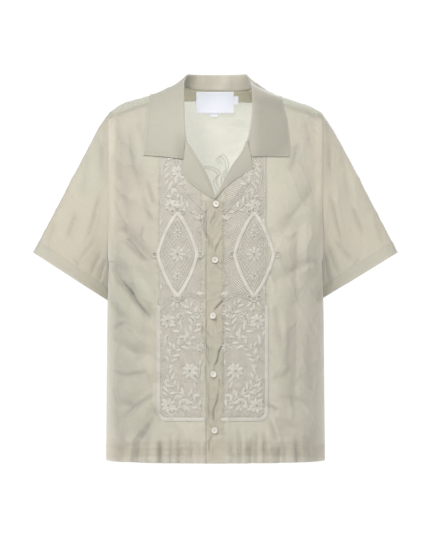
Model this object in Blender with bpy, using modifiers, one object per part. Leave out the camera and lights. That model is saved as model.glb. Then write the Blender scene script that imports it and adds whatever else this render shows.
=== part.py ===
"""A short-sleeved barong tagalog shirt, hollow, in the shape it has on a body.

The front faces -Y and +Z is up. The origin is between the neck points of the shoulders.
Every cloth piece is an open sheet with Solidify, and its points come from one body surface.
That surface is read by x and by a level: 0 on the shoulder line, 1 at the underarm and 2 at
the hem. Levels are positive on the front and negative on the back.
"""

import math

import bmesh
import bpy
from mathutils import Vector
from mathutils.bvhtree import BVHTree

RIGHT, LEFT = -1, 1  # the wearer's sides: right is -X, left is +X

# Driving dimensions, in metres
WALL = 0.001
SEAM_GAP = 0.0003
HALF_TRIM = 0.0002
SHOULDER_HALF_WIDTH = 0.2
UNDERARM_Z = -0.338
HEM_Z = -0.710
CHEST_GROWTH = 0.0015
HEM_GROWTH = 0.0035
FRONT_DEPTH = 0.135
BACK_DEPTH = 0.125
HEM_DEPTH_GROWTH = 0.008
ROUNDNESS = 2.25
ARMHOLE_HALF_DEPTH = 0.055
SHOULDER_SEAM_LEVEL = 0.22
NECK_BACK_LEVEL = -0.262
NECK_SIDE = {RIGHT: 0.0635, LEFT: 0.0700}
PLACKET_HALF_WIDTH = 0.016
OVERLAP_LIFT = 0.0016
LAPEL_FOOT_Z = -0.190
BUTTON_RADIUS = 0.00575
BUTTON_HEIGHT = 0.0022

# The shoulder line: a sloping line, rounded at the neck, that drops at its tip
NECK_TOP = 0.0175
SHOULDER_SLOPE = 0.345
NECK_ROUNDING = 0.02
TIP_START = 0.165
TIP_SPAN = 0.036
TIP_DROP = 0.0075
LEFT_SAG = 0.0026

# Inner edge of each front from the shoulder seam down: distance from the middle, height
FRONT_EDGE = {
    RIGHT: ((0.0635, -0.020), (0.0620, -0.070), (0.0605, -0.100), (0.0553, -0.116), (0.0471, -0.1272),
            (0.0358, -0.1461), (0.0207, -0.1723), (0.0094, -0.1969), (0.0018, -0.2176),
            (-PLACKET_HALF_WIDTH, -0.232), (-PLACKET_HALF_WIDTH, HEM_Z)),
    LEFT: ((0.0715, -0.020), (0.0725, -0.045), (0.0705, -0.0700), (0.0650, -0.100), (0.0605, -0.1120),
           (0.0507, -0.1346), (0.0319, -0.1620), (0.0131, -0.1969), (0.0018, -0.2176),
           (-PLACKET_HALF_WIDTH, -0.232), (-PLACKET_HALF_WIDTH, HEM_Z)),
}

# Collar: the fold's distance from the middle and the leaf edge's, by level on the front
FOLD_X = {
    RIGHT: ((0.0, 0.0588), (0.40, 0.0585), (0.52, 0.0575), (0.57, 0.0552)),
    LEFT: ((0.0, 0.0655), (0.36, 0.0690), (0.46, 0.0668), (0.52, 0.0640), (0.57, 0.0600)),
}
LEAF_X = {
    RIGHT: ((0.0, 0.1225), (0.24, 0.1258), (0.344, 0.1275), (0.47, 0.1300), (0.60, 0.1327)),
    LEFT: ((0.0, 0.1235), (0.24, 0.1270), (0.344, 0.1308), (0.47, 0.1347), (0.55, 0.1362), (0.60, 0.1347)),
}
NOTCH = {RIGHT: (0.0585, 0.660), LEFT: (0.0661, 0.642)}  # x and level
GORGE_LEVEL = 0.57
LEAF_END_LEVEL = 0.602
COLLAR_BACK_Y = 0.0615
COLLAR_BACK_Z = 0.0152
COLLAR_FOOT_LEVEL = -0.32
COLLAR_EDGE_LEVEL = -0.37
FOLD_LIFT_SIDE = 0.0092
FOLD_LIFT_GORGE = 0.0034

# Lapels: the roll's level at each station, and the outer edge there, as distance from the middle and height
LAPEL_LEVELS = (0.574, 0.61, 0.65, 0.69, 0.73, 0.77, 0.80)
LAPEL_EDGE = {
    RIGHT: ((0.0575, -0.1505), (0.0641, -0.1725), (0.0508, -0.1891), (0.0386, -0.1990), (0.0264, -0.2083),
            (0.0190, -0.2130), (0.0125, -0.2165)),
    LEFT: ((0.0652, -0.1450), (0.0698, -0.1651), (0.0520, -0.1765), (0.0340, -0.1876), (0.0226, -0.1982),
           (0.0125, -0.2080), (0.0060, -0.2170)),
}
GORGE_GAP = 0.0009

# Folds of the cloth: start x and z, end x and z, depth (negative is a trough), half width
FRONT_FOLDS = (
    (-0.188, -0.352, -0.162, -0.396, -0.0050, 0.011),
    (-0.162, -0.396, -0.129, -0.439, -0.0050, 0.011),
    (-0.174, -0.287, -0.136, -0.328, -0.0030, 0.011),
    (-0.180, -0.187, -0.164, -0.300, -0.0040, 0.018),
    (-0.188, -0.490, -0.153, -0.508, -0.0030, 0.011),
    (-0.153, -0.508, -0.119, -0.510, -0.0030, 0.011),
    (-0.112, -0.561, -0.162, -0.605, -0.0030, 0.012),
    (-0.162, -0.605, -0.186, -0.650, -0.0030, 0.012),
    (-0.114, -0.622, -0.138, -0.662, -0.0055, 0.011),
    (-0.138, -0.662, -0.153, -0.710, -0.0060, 0.011),
    (-0.068, -0.650, -0.068, -0.710, -0.0030, 0.011),
    (-0.042, -0.660, -0.042, -0.710, -0.0020, 0.009),
    (0.069, -0.650, 0.069, -0.710, -0.0030, 0.011),
    (0.121, -0.675, 0.123, -0.710, -0.0030, 0.011),
    (0.097, -0.605, 0.140, -0.646, -0.0040, 0.012),
    (0.140, -0.646, 0.185, -0.675, -0.0040, 0.012),
    (0.156, -0.280, 0.152, -0.600, -0.0050, 0.018),
    (0.186, -0.342, 0.114, -0.372, -0.0030, 0.011),
    (0.190, -0.200, 0.110, -0.292, -0.0030, 0.015),
)
BACK_FOLDS = (
    (-0.120, -0.180, -0.100, -0.560, -0.0050, 0.022),
    (-0.030, -0.300, -0.045, -0.710, -0.0060, 0.024),
    (0.040, -0.240, 0.055, -0.710, -0.0060, 0.024),
    (0.130, -0.200, 0.110, -0.640, -0.0050, 0.022),
    (-0.150, -0.480, -0.140, -0.710, -0.0050, 0.018),
    (0.000, -0.520, 0.005, -0.710, -0.0040, 0.016),
)

# Sleeves: ends of the cuff's long axis, and its half depth
CUFF_TIP = Vector((0.3435, -0.005, -0.3195))
CUFF_INNER = {RIGHT: Vector((0.190, 0.045, -0.419)), LEFT: Vector((0.190, 0.045, -0.414))}
CUFF_HALF_DEPTH = 0.046
SLEEVE_START_X = 0.2013
SLEEVE_CLEARANCE = 0.0036
SLEEVE_STATIONS = (0.0, 0.035, 0.09, 0.17, 0.27, 0.39, 0.51, 0.63, 0.75, 0.88, 1.0)
SLEEVE_SIDES = 28

# Front rows, as levels, and columns
FRONT_LEVELS = (0.221, 0.31, 0.40, 0.49, 0.57, 0.61, 0.65, 0.69, 0.73, 0.77, 0.809, 0.834, 0.87,
                0.91, 0.955, 1.0)
LOWER_ROWS = 13
FRONT_SIDE_COLUMNS = 12
PLACKET_COLUMNS = (0.042, 0.032, 0.016, 0.0)
BACK_FAN_LEVEL = -0.55
BACK_FAN_ROWS = 10
BACK_MIDDLE_ROWS = 6

# Inside of the back neck
FACING_LIFT = -0.0009
FACING_DEPTH = 0.019
FACING_ENDS = (-0.056, 0.061)
LABEL_LIFT = -0.0024
LABEL_WALL = 0.0007

# Raised trim on the fronts
BORDER_WIDTH = 0.007
BORDER_CORNER_RADIUS = 0.014
BORDER_OUTER_X = {RIGHT: 0.1056, LEFT: 0.0945}
BORDER_INNER_X = {RIGHT: 0.0200, LEFT: 0.0290}
BORDER_TOP_Z = -0.418
BORDER_BOTTOM_Z = -0.629
BORDER_LIFT = 0.0008
BORDER_WALL = 0.0008
BORDER_ROWS = 48
BORDER_COLUMNS = 2
MEDALLION_CENTRE = {RIGHT: (0.0700, -0.325), LEFT: (0.0715, -0.325)}
MEDALLION_HALF_WIDTH = 0.036
MEDALLION_HALF_HEIGHT = 0.076
MEDALLION_CORD_RADIUS = 0.0018
MEDALLION_POINTS = 52

BUTTON_PLACES = ((0.0005, -0.2315), (-0.0013, -0.3344), (-0.0040, -0.4378), (-0.0045, -0.5454), (-0.0017, -0.6482))


def smooth(value):
    """Eases a value from 0 to 1."""
    value = max(0.0, min(1.0, value))
    return value * value * (3 - 2 * value)


def read_table(table, key):
    """Reads a table of (key, value) rows, in straight steps between its rows."""
    if key <= table[0][0]:
        return table[0][1]
    for (low, start), (high, end) in zip(table, table[1:]):
        if key <= high:
            return start + (end - start) * (key - low) / (high - low)
    return table[-1][1]


# The body surface


def shoulder_height(x):
    tip = max(0.0, abs(x) - TIP_START) / TIP_SPAN
    sag = LEFT_SAG * math.sin(math.pi * x / SHOULDER_HALF_WIDTH) if x > 0 else 0.0
    return NECK_TOP - SHOULDER_SLOPE * math.hypot(x, NECK_ROUNDING) - TIP_DROP * tip * tip - sag


def height_at(x, level):
    down = abs(level)
    if down > 1:
        return UNDERARM_Z - (down - 1) * (UNDERARM_Z - HEM_Z)
    top = shoulder_height(x)
    return top - down * down * (top - UNDERARM_Z)


def level_at(x, z):
    if z < UNDERARM_Z:
        return 1 + (UNDERARM_Z - z) / (UNDERARM_Z - HEM_Z)
    top = shoulder_height(x)
    return math.sqrt(max(0.0, top - z) / (top - UNDERARM_Z))


def half_width(level):
    below = max(0.0, abs(level) - 1)
    return SHOULDER_HALF_WIDTH + CHEST_GROWTH * smooth(below / 0.3) + HEM_GROWTH * below


def body_depth(level):
    down = abs(level)
    depth = FRONT_DEPTH if level >= 0 else BACK_DEPTH
    rounding = min(1.0, down * down / 0.8)
    return depth * math.sqrt(1 - (1 - rounding) ** 2) + HEM_DEPTH_GROWTH * max(0.0, down - 1)


def body_point(x, level):
    down = abs(level)
    side = -1 if level >= 0 else 1
    edge = 2 * ARMHOLE_HALF_DEPTH * down * math.sqrt(1 - down * down) if down < 1 else 0.0
    across = min(1.0, abs(x) / half_width(level)) ** (ROUNDNESS / 2)
    power = 1.1 + (ROUNDNESS - 1.1) * smooth((down - 0.75) / 0.35)
    inward = math.sqrt(max(0.0, 1 - across * across)) ** (2 / power)
    y = edge + (body_depth(level) - edge) * inward
    return Vector((x, side * y, height_at(x, level)))


def body_normal(x, level):
    step = 0.001
    reach = half_width(level) - 2 * step
    x = max(-reach, min(reach, x))
    across = body_point(x + step, level) - body_point(x - step, level)
    if abs(level) < 0.02:
        level = 0.02
    up = body_point(x, level * 0.995) - body_point(x, level * 1.005)
    normal = across.cross(up).normalized()
    return normal if level > 0 else -normal


def fold_depth(x, z, level):
    """How far the folds move the cloth out at a point."""
    depth = 0.0
    for start_x, start_z, end_x, end_z, fold, half in FRONT_FOLDS if level > 0 else BACK_FOLDS:
        run = Vector((end_x - start_x, end_z - start_z))
        offset = Vector((x - start_x, z - start_z))
        share = max(0.0, min(1.0, offset.dot(run) / run.length_squared))
        distance = (offset - run * share).length
        depth += fold * math.exp(-((distance / half) ** 2))
    side_fade = smooth((half_width(level) - abs(x)) / 0.022)
    shoulder_fade = smooth((abs(level) - 0.45) / 0.2)
    middle_fade = smooth((abs(x) - 0.028) / 0.02) if level > 0 else 1.0
    return depth * side_fade * shoulder_fade * middle_fade


def cloth_point(x, level, lift=0.0):
    """A point of the cloth's inner face with its folds, moved out by lift."""
    point = body_point(x, level)
    return point + body_normal(x, level) * (fold_depth(x, point.z, level) + lift)


def front_point(side, x, level, lift=0.0):
    """A point on one front. The left front rises over the right one at the placket."""
    if side == LEFT:
        past_edge = x - front_inner_edge(side, level)
        below_lapel = smooth((LAPEL_FOOT_Z - height_at(x, level)) / 0.025)
        lift += OVERLAP_LIFT * smooth((0.046 - past_edge) / 0.0135) * below_lapel
    return cloth_point(x, level, lift)


# Making meshes


def material(name, colour, roughness, metallic=0.0):
    made = bpy.data.materials.new(name)
    made.use_nodes = True
    shader = made.node_tree.nodes["Principled BSDF"]
    shader.inputs["Base Color"].default_value = (*colour, 1.0)
    shader.inputs["Roughness"].default_value = roughness
    shader.inputs["Metallic"].default_value = metallic
    return made


def add_object(name, mesh, finish):
    made = bpy.data.objects.new(name, mesh)
    made.data.materials.append(finish)
    shirt.objects.link(made)
    return made


def sheet(name, columns, rows, place, finish, wall=WALL, closed=False):
    """A grid sheet whose point at a column and row comes from place, with its wall on the normal's side."""
    shape = bmesh.new()
    bmesh.ops.create_grid(shape, x_segments=columns, y_segments=rows, size=1.0)
    for vert in shape.verts:
        column = round((vert.co.x + 1) / 2 * columns)
        row = round((vert.co.y + 1) / 2 * rows)
        vert.co = place(column % columns if closed else column, row)
    if closed:
        bmesh.ops.remove_doubles(shape, verts=shape.verts, dist=0.00001)
    mesh = bpy.data.meshes.new(name)
    shape.to_mesh(mesh)
    shape.free()
    mesh.shade_smooth()
    made = add_object(name, mesh, finish)
    solid = made.modifiers.new("Wall", "SOLIDIFY")
    solid.thickness = wall
    solid.offset = 1.0
    solid.use_even_offset = False
    return made


# Body pieces


def front_inner_edge(side, level):
    """How far a front's inner edge is from the middle, on its own side."""
    rows = [(level_at(side * x, z), x) for x, z in FRONT_EDGE[side]]
    return read_table(rows, level)


def arc_share(x, half):
    return math.asin(min(1.0, (abs(x) / half) ** (ROUNDNESS / 2)))


def arc_x(angle, half):
    return half * math.sin(angle) ** (2 / ROUNDNESS)


def front_panel(side, name, finish):
    lower = [1 + (row + 1) / LOWER_ROWS for row in range(LOWER_ROWS)]
    levels = (list(FRONT_LEVELS) + lower)[::-1]
    columns = FRONT_SIDE_COLUMNS + len(PLACKET_COLUMNS) - 1

    def place(column, row):
        level = levels[row]
        step = column if side == RIGHT else columns - column
        half = half_width(level)
        inner = front_inner_edge(side, level)
        if step >= FRONT_SIDE_COLUMNS:
            x = inner + PLACKET_COLUMNS[step - FRONT_SIDE_COLUMNS]
        else:
            inner_angle = arc_share(inner + PLACKET_COLUMNS[0], half)
            share = step / FRONT_SIDE_COLUMNS
            x = arc_x(math.pi / 2 + (inner_angle - math.pi / 2) * share, half)
        if step == 0 and level <= 1:
            x -= HALF_TRIM
        point = front_point(side, side * x, level)
        if step == 0 and level >= 1:
            point.y -= HALF_TRIM
        return point

    return sheet(name, columns, len(levels) - 1, place, finish)


def back_panel(finish):
    """The back runs over the shoulder line to the seam on the front, and its columns fan out round the neck."""
    shoulder_columns, neck_side_columns, neck_columns = 6, 2, 7
    half_columns = shoulder_columns + neck_side_columns + neck_columns
    seam_level = SHOULDER_SEAM_LEVEL - 0.001

    def top(side, step):
        neck = NECK_SIDE[side]
        if step <= shoulder_columns:
            share = step / shoulder_columns
            return Vector((SHOULDER_HALF_WIDTH + (neck - SHOULDER_HALF_WIDTH) * share, seam_level))
        step -= shoulder_columns
        if step <= neck_side_columns:
            return Vector((neck, seam_level * (1 - step / neck_side_columns)))
        angle = math.pi / 2 * (step - neck_side_columns) / neck_columns
        return Vector((neck * math.cos(angle), NECK_BACK_LEVEL * math.sin(angle)))

    def place(column, row):
        side = LEFT if column <= half_columns else RIGHT
        step = column if side == LEFT else 2 * half_columns - column
        angle = math.pi / 2 * (1 - step / half_columns)
        if row > LOWER_ROWS + BACK_MIDDLE_ROWS:
            share = (row - LOWER_ROWS - BACK_MIDDLE_ROWS) / BACK_FAN_ROWS
            start = Vector((arc_x(angle, SHOULDER_HALF_WIDTH), BACK_FAN_LEVEL))
            x, level = start.lerp(top(side, step), share)
        else:
            if row > LOWER_ROWS:
                level = -1 + (row - LOWER_ROWS) / BACK_MIDDLE_ROWS * (1 + BACK_FAN_LEVEL)
            else:
                level = -2 + row / LOWER_ROWS
            x = arc_x(angle, half_width(level))
        if step == 0 and level >= -1:
            x -= HALF_TRIM
        point = cloth_point(side * x, level)
        if step == 0 and level <= -1:
            point.y += HALF_TRIM
        return point

    rows = LOWER_ROWS + BACK_MIDDLE_ROWS + BACK_FAN_ROWS
    return sheet("back", 2 * half_columns, rows, place, finish)


def sleeve(side, name, finish):
    """A tube from the armhole to the cuff, which lies against the body's side and passes behind it."""
    top = shoulder_height(side * SHOULDER_HALF_WIDTH)
    middle = (top + UNDERARM_Z) / 2
    half = (top - UNDERARM_Z) / 2
    centre = (CUFF_TIP + CUFF_INNER[side]) / 2
    major = (CUFF_TIP - CUFF_INNER[side]) / 2

    def clear_of_body(point):
        level = level_at(0.0, point.z)
        wide = half_width(level) + SLEEVE_CLEARANCE
        deep = body_depth(level if point.y < 0 else -level) + SLEEVE_CLEARANCE
        reach = (abs(point.x) / wide) ** ROUNDNESS + (abs(point.y) / deep) ** ROUNDNESS
        if point.z < UNDERARM_Z + 0.004 and reach < 1:
            scale = reach ** (-1 / ROUNDNESS)
            point.x *= scale
            point.y *= scale
        point.x = max(point.x, SHOULDER_HALF_WIDTH + 0.0013) if point.z > UNDERARM_Z else point.x
        return point

    def place(column, row):
        share = SLEEVE_STATIONS[row]
        angle = 2 * math.pi * column / SLEEVE_SIDES
        bottom = (1 - math.cos(angle)) / 2
        ring = Vector((SLEEVE_START_X + 0.0014 * bottom**2, ARMHOLE_HALF_DEPTH * math.sin(angle),
                       middle + half * math.cos(angle)))
        cuff = centre + major * math.cos(angle) + Vector((0, CUFF_HALF_DEPTH * math.sin(angle), 0))
        point = ring.lerp(cuff, share)
        bulge = share / 0.13 * math.exp(1 - share / 0.13)
        point.x += bulge * (0.0036 * (1 - bottom) + 0.004 * bottom)
        ripple = 0.0022 * smooth(share * 2) * math.cos(5 * angle + 2.2 * share + 0.6)
        point += (cuff - centre).normalized() * ripple * (1 - smooth(bottom * 3 - 2))
        if row > 0:
            point = clear_of_body(point)
        point.x *= side
        return point

    def turned(column, row):
        return place(column, row if side == LEFT else len(SLEEVE_STATIONS) - 1 - row)

    return sheet(name, SLEEVE_SIDES, len(SLEEVE_STATIONS) - 1, turned, finish, closed=True)


# Collar and lapels


def neck_seam(side, share):
    """A point of the neck seam, x and level, for a share from the back's middle (0) to the gorge (1)."""
    if share <= 0.5:
        angle = math.pi * (0.5 - share)
        return Vector((NECK_SIDE[side] * math.cos(angle), NECK_BACK_LEVEL * math.sin(angle)))
    level = (share - 0.5) * 2 * GORGE_LEVEL
    x = NECK_SIDE[side] if level <= SHOULDER_SEAM_LEVEL else front_inner_edge(side, level)
    return Vector((x, level))


def collar_fold(side, share):
    """The foot of the fold on the body, x and level, and the fold's own place."""
    if share <= 0.5:
        angle = math.pi * (0.5 - share)
        wide = FOLD_X[side][0][1]
        foot = Vector((wide * math.cos(angle), COLLAR_FOOT_LEVEL * math.sin(angle)))
        side_z = shoulder_height(side * wide) + FOLD_LIFT_SIDE
        z = side_z + (COLLAR_BACK_Z - side_z) * smooth(math.sin(angle) / 0.5)
        return foot, Vector((side * foot.x, COLLAR_BACK_Y * math.sin(angle), z))
    reach = (share - 0.5) * 2
    level = reach * GORGE_LEVEL
    foot = Vector((read_table(FOLD_X[side], level), level))
    lift = FOLD_LIFT_SIDE + (FOLD_LIFT_GORGE - FOLD_LIFT_SIDE) * smooth(reach)
    return foot, cloth_point(side * foot.x, max(level, 0.001), lift)


def leaf_edge(side, share):
    if share <= 0.5:
        angle = math.pi * (0.5 - share)
        return Vector((LEAF_X[side][0][1] * math.cos(angle), COLLAR_EDGE_LEVEL * math.sin(angle)))
    level = (share - 0.5) * 2 * LEAF_END_LEVEL
    return Vector((read_table(LEAF_X[side], level), level))


def leaf_point(side, share, out):
    """A point of the collar's leaf, from the fold (out 0) to its edge (out 1)."""
    foot, fold = collar_fold(side, share)
    edge = leaf_edge(side, share)
    spot = foot.lerp(edge, out)
    near_gorge = max(0.0, (share - 0.82) / 0.18) ** 1.5
    if near_gorge > 0:
        gorge = collar_fold(side, 1.0)[0]
        notch = Vector(NOTCH[side])
        tip = leaf_edge(side, 1.0)
        notch_share = 0.32
        if out <= notch_share:
            bent = gorge.lerp(notch, out / notch_share)
        else:
            bent = notch.lerp(tip, (out - notch_share) / (1 - notch_share))
        spot += (bent - gorge.lerp(tip, out)) * near_gorge
    lift = 0.0017 + 0.0006 * smooth(1 - abs(spot.y) / 0.4)
    base = cloth_point(side * foot.x, foot.y if abs(foot.y) > 0.001 else 0.001, lift)
    rest = cloth_point(side * spot.x, spot.y if abs(spot.y) > 0.001 else 0.001, lift)
    return rest + (fold - base) * (1 - out) ** 1.5


def collar(finish):
    half_columns = 19
    stand_rows = 3
    leaf_shares = (0.035, 0.11, 0.22, 0.32, 0.46, 0.6, 0.74, 0.87, 1.0)

    def place(column, row):
        side = RIGHT if column < half_columns else LEFT
        share = abs(column - half_columns) / half_columns
        seam = neck_seam(side, share)
        inset = 0.001 * smooth((share - 0.5) * 4)
        foot_level = seam.y if abs(seam.y) > 0.001 else 0.001
        start = cloth_point(side * (seam.x - inset), foot_level, WALL + SEAM_GAP)
        fold = collar_fold(side, share)[1]
        edge = leaf_point(side, share, 1.0)
        outward = Vector((edge.x - fold.x, edge.y - fold.y, 0)).normalized()
        if row < stand_rows:
            inner = fold + (start - fold) * 0.12 - outward * 0.0011
            return start.lerp(inner, row / (stand_rows - 1))
        if row == stand_rows:
            return fold
        return leaf_point(side, share, leaf_shares[row - stand_rows - 1])

    return sheet("collar", 2 * half_columns, stand_rows + len(leaf_shares), place, finish)


def lapel(side, name, finish):
    """The front's facing, turned out over the front's inner edge above the top button."""
    turn = ((0.006, -0.0006), (0.002, -0.0006), (-0.0009, -0.0003), (-0.0013, 0.0005), (-0.0009, 0.0015),
            (0.0025, 0.0024))
    outs = (0.33, 0.66, 1.0)
    outside_lift = 0.0018
    last = len(LAPEL_LEVELS) - 1

    def place(column, row):
        station = last - column if side == RIGHT else column
        level = LAPEL_LEVELS[station]
        x = front_inner_edge(side, level) - (GORGE_GAP if station == 0 else 0)
        edge_x, edge_z = LAPEL_EDGE[side][station]
        edge_level = level_at(side * edge_x, edge_z)
        if row < len(turn):
            distance, lift = turn[row]
            if station == 0 and lift > 0:
                distance = min(distance, 0)  # the gorge seam runs on from the roll here
            start = front_point(side, side * x, level)
            normal = body_normal(side * x, level)
            below = level + 0.01
            roll = front_point(side, side * front_inner_edge(side, below), below) - start
            outward = normal.cross(roll).normalized() * side
            return start + outward * distance + normal * lift
        spot = Vector((x, level)).lerp(Vector((edge_x, edge_level)), outs[row - len(turn)])
        return front_point(side, side * spot.x, spot.y, outside_lift)

    return sheet(name, last, len(turn) + len(outs) - 1, place, finish)


# Inside of the back neck


def inside_patch(name, ends, heights, lift, wall, columns, rows, finish, follow_seam=False):
    """A flat piece on the inner side of the back, between two x and two heights."""

    def place(column, row):
        x = ends[0] + (ends[1] - ends[0]) * column / columns
        if follow_seam:
            neck = NECK_SIDE[LEFT if x > 0 else RIGHT]
            seam_level = NECK_BACK_LEVEL * math.sqrt(1 - (x / neck) ** 2) - 0.012
            top = height_at(x, seam_level)
            z = top - FACING_DEPTH * (1 - row / rows)
        else:
            z = heights[0] + (heights[1] - heights[0]) * row / rows
        return cloth_point(x, -level_at(x, z), lift)

    return sheet(name, columns, rows, place, finish, wall)


# Trim on the fronts


def dropped(surface, x, z, lift):
    """The point where a straight line from the front meets a piece, moved out by lift, and the normal there."""
    spot, normal, _, _ = surface.ray_cast(Vector((x, -1.0, z)), Vector((0.0, 1.0, 0.0)))
    return spot + normal * lift, normal


def surface_of(piece):
    return BVHTree.FromObject(piece, bpy.context.evaluated_depsgraph_get())


def border(side, name, surface, finish):
    """A flat band down the outer side of the lower embroidery, round its corner and along its foot."""
    outer = BORDER_OUTER_X[side]
    down = BORDER_TOP_Z - BORDER_BOTTOM_Z - BORDER_CORNER_RADIUS
    round_length = BORDER_CORNER_RADIUS * math.pi / 2
    foot = outer - BORDER_CORNER_RADIUS - BORDER_INNER_X[side]
    length = down + round_length + foot

    def centre(distance):
        if distance < down:
            return Vector((outer, BORDER_TOP_Z - distance)), Vector((1, 0))
        if distance < down + round_length:
            angle = (distance - down) / BORDER_CORNER_RADIUS
            normal = Vector((math.cos(angle), -math.sin(angle)))
            middle = Vector((outer - BORDER_CORNER_RADIUS, BORDER_BOTTOM_Z + BORDER_CORNER_RADIUS))
            return middle + normal * BORDER_CORNER_RADIUS, normal
        rest = distance - down - round_length
        return Vector((outer - BORDER_CORNER_RADIUS - rest, BORDER_BOTTOM_Z)), Vector((0, -1))

    def place(column, row):
        distance = length * (1 - row / BORDER_ROWS)
        spot, normal = centre(distance)
        spot += normal * BORDER_WIDTH * (column / BORDER_COLUMNS - 0.5) * side
        return dropped(surface, side * spot.x, spot.y, BORDER_LIFT)[0]

    return sheet(name, BORDER_COLUMNS, BORDER_ROWS, place, finish, BORDER_WALL)


def medallion(side, name, surface, finish):
    """A thick cord laid round a rhombus with rounded corners."""
    centre_x, centre_z = MEDALLION_CENTRE[side]
    curve = bpy.data.curves.new(name, "CURVE")
    curve.dimensions = "3D"
    curve.bevel_depth = MEDALLION_CORD_RADIUS
    curve.bevel_resolution = 1
    spline = curve.splines.new("POLY")
    spline.points.add(MEDALLION_POINTS - 1)
    spline.use_cyclic_u = True
    squareness = 1.25
    for index, point in enumerate(spline.points):
        angle = 2 * math.pi * index / MEDALLION_POINTS
        reach_x = math.copysign(abs(math.cos(angle)) ** (2 / squareness), math.cos(angle))
        reach_z = math.copysign(abs(math.sin(angle)) ** (2 / squareness), math.sin(angle))
        x = side * (centre_x + MEDALLION_HALF_WIDTH * reach_x)
        z = centre_z + MEDALLION_HALF_HEIGHT * reach_z
        spot, _ = dropped(surface, x, z, MEDALLION_CORD_RADIUS + 0.0007)
        point.co = (*spot, 1.0)
    return add_object(name, curve, finish)


def button_mesh():
    """A turned disc with a raised rim and a dished middle, and four holes through it."""
    half = BUTTON_HEIGHT / 2
    profile = ((0.0, half * 0.4), (0.0032, half * 0.4), (0.0045, half), (BUTTON_RADIUS, half * 0.2),
               (BUTTON_RADIUS * 0.93, -half), (0.0, -half))
    shape = bpy.data.meshes.new("button_profile")
    shape.from_pydata([(x, 0, z) for x, z in profile], [(i, i + 1) for i in range(len(profile) - 1)], [])
    disc = bpy.data.objects.new("button_disc", shape)
    cutters.objects.link(disc)
    disc.hide_render = True
    turn = disc.modifiers.new("Turn", "SCREW")
    turn.steps = 18
    turn.render_steps = 18
    turn.use_merge_vertices = True
    turn.merge_threshold = 0.00001
    holes = bmesh.new()
    for number in range(4):
        angle = math.pi / 2 * number + math.pi / 4
        made = bmesh.ops.create_cone(holes, cap_ends=True, segments=6, radius1=0.0006, radius2=0.0006, depth=0.01)
        bmesh.ops.translate(holes, verts=made["verts"], vec=(0.0014 * math.cos(angle), 0.0014 * math.sin(angle), 0))
    hole_mesh = bpy.data.meshes.new("button_holes")
    holes.to_mesh(hole_mesh)
    holes.free()
    cutter = bpy.data.objects.new("button_holes", hole_mesh)
    cutter.hide_render = True
    cutter.display_type = "WIRE"
    cutters.objects.link(cutter)
    cut = disc.modifiers.new("Holes", "BOOLEAN")
    cut.object = cutter
    cut.operation = "DIFFERENCE"
    mesh = bpy.data.meshes.new_from_object(disc.evaluated_get(bpy.context.evaluated_depsgraph_get()))
    mesh.materials.clear()
    mesh.shade_flat()
    bpy.data.objects.remove(disc)
    bpy.data.objects.remove(cutter)
    return mesh


def buttons(surface, finish):
    mesh = button_mesh()
    mesh.materials.append(finish)
    for number, (x, z) in enumerate(BUTTON_PLACES, start=1):
        made = bpy.data.objects.new(f"button_{number}", mesh)
        shirt.objects.link(made)
        spot, normal = dropped(surface, x, z, 0.0)
        turn = Vector((0, 0, 1)).rotation_difference(normal)
        highest = 0.0
        for rim in range(12):
            angle = 2 * math.pi * rim / 12
            start = spot + turn @ Vector((math.cos(angle), math.sin(angle), 0)) * BUTTON_RADIUS + normal * WALL * 5
            hit, _, _, _ = surface.ray_cast(start, -normal)
            if hit:
                highest = max(highest, (hit - spot).dot(normal))
        made.location = spot + normal * (highest + BUTTON_HEIGHT / 2 + SEAM_GAP)
        made.rotation_mode = "QUATERNION"
        made.rotation_quaternion = turn


for old in list(bpy.data.objects):
    bpy.data.objects.remove(old)
shirt = bpy.data.collections.new("barong_tagalog_shirt")
cutters = bpy.data.collections.new("cutters")
bpy.context.scene.collection.children.link(shirt)
bpy.context.scene.collection.children.link(cutters)

cloth = material("sheer cloth", (0.54, 0.51, 0.42), 0.75)
collar_cloth = material("collar cloth", (0.60, 0.57, 0.46), 0.75)
facing_cloth = material("facing cloth", (0.60, 0.57, 0.46), 0.75)
label_white = material("label white", (0.84, 0.86, 0.92), 0.6)
satin = material("ivory satin", (0.70, 0.69, 0.61), 0.45)
cord = material("ivory cord", (0.72, 0.72, 0.65), 0.5)
pearl = material("pearl", (0.82, 0.81, 0.77), 0.25)

back_panel(cloth)
front_right = front_panel(RIGHT, "front_right", cloth)
front_left = front_panel(LEFT, "front_left", cloth)
sleeve(RIGHT, "sleeve_right", cloth)
sleeve(LEFT, "sleeve_left", cloth)
collar(collar_cloth)
lapel(RIGHT, "lapel_right", facing_cloth)
lapel(LEFT, "lapel_left", facing_cloth)
inside_patch("neck_facing", FACING_ENDS, None, FACING_LIFT, WALL, 14, 2, facing_cloth, follow_seam=True)
inside_patch("label", (-0.0368, 0.0349), (-0.0533, -0.0150), LABEL_LIFT, LABEL_WALL, 8, 3, label_white)
inside_patch("size_tab", (-0.0097, 0.0040), (-0.0612, -0.0490), FACING_LIFT, LABEL_WALL, 2, 2, label_white)
inside_patch("side_tab", (0.0353, 0.0440), (-0.0379, -0.0233), LABEL_LIFT, LABEL_WALL, 2, 2, label_white)

bpy.context.view_layer.update()
right_surface = surface_of(front_right)
left_surface = surface_of(front_left)
border(RIGHT, "border_right", right_surface, satin)
border(LEFT, "border_left", left_surface, satin)
medallion(RIGHT, "medallion_right", right_surface, cord)
medallion(LEFT, "medallion_left", left_surface, cord)
buttons(left_surface, pearl)
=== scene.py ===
"""The looks of a short-sleeved barong tagalog shirt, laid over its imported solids.

Every cloth piece is a fine grid on the same body surface as the solids, in metres. A point of
it is read by x and by a level: 0 on the shoulder line, 1 at the underarm and 2 at the hem.
Levels are positive on the front and negative on the back. The front faces -Y.
"""

import math

import bpy
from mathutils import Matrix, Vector, noise
from mathutils.bvhtree import BVHTree


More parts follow.
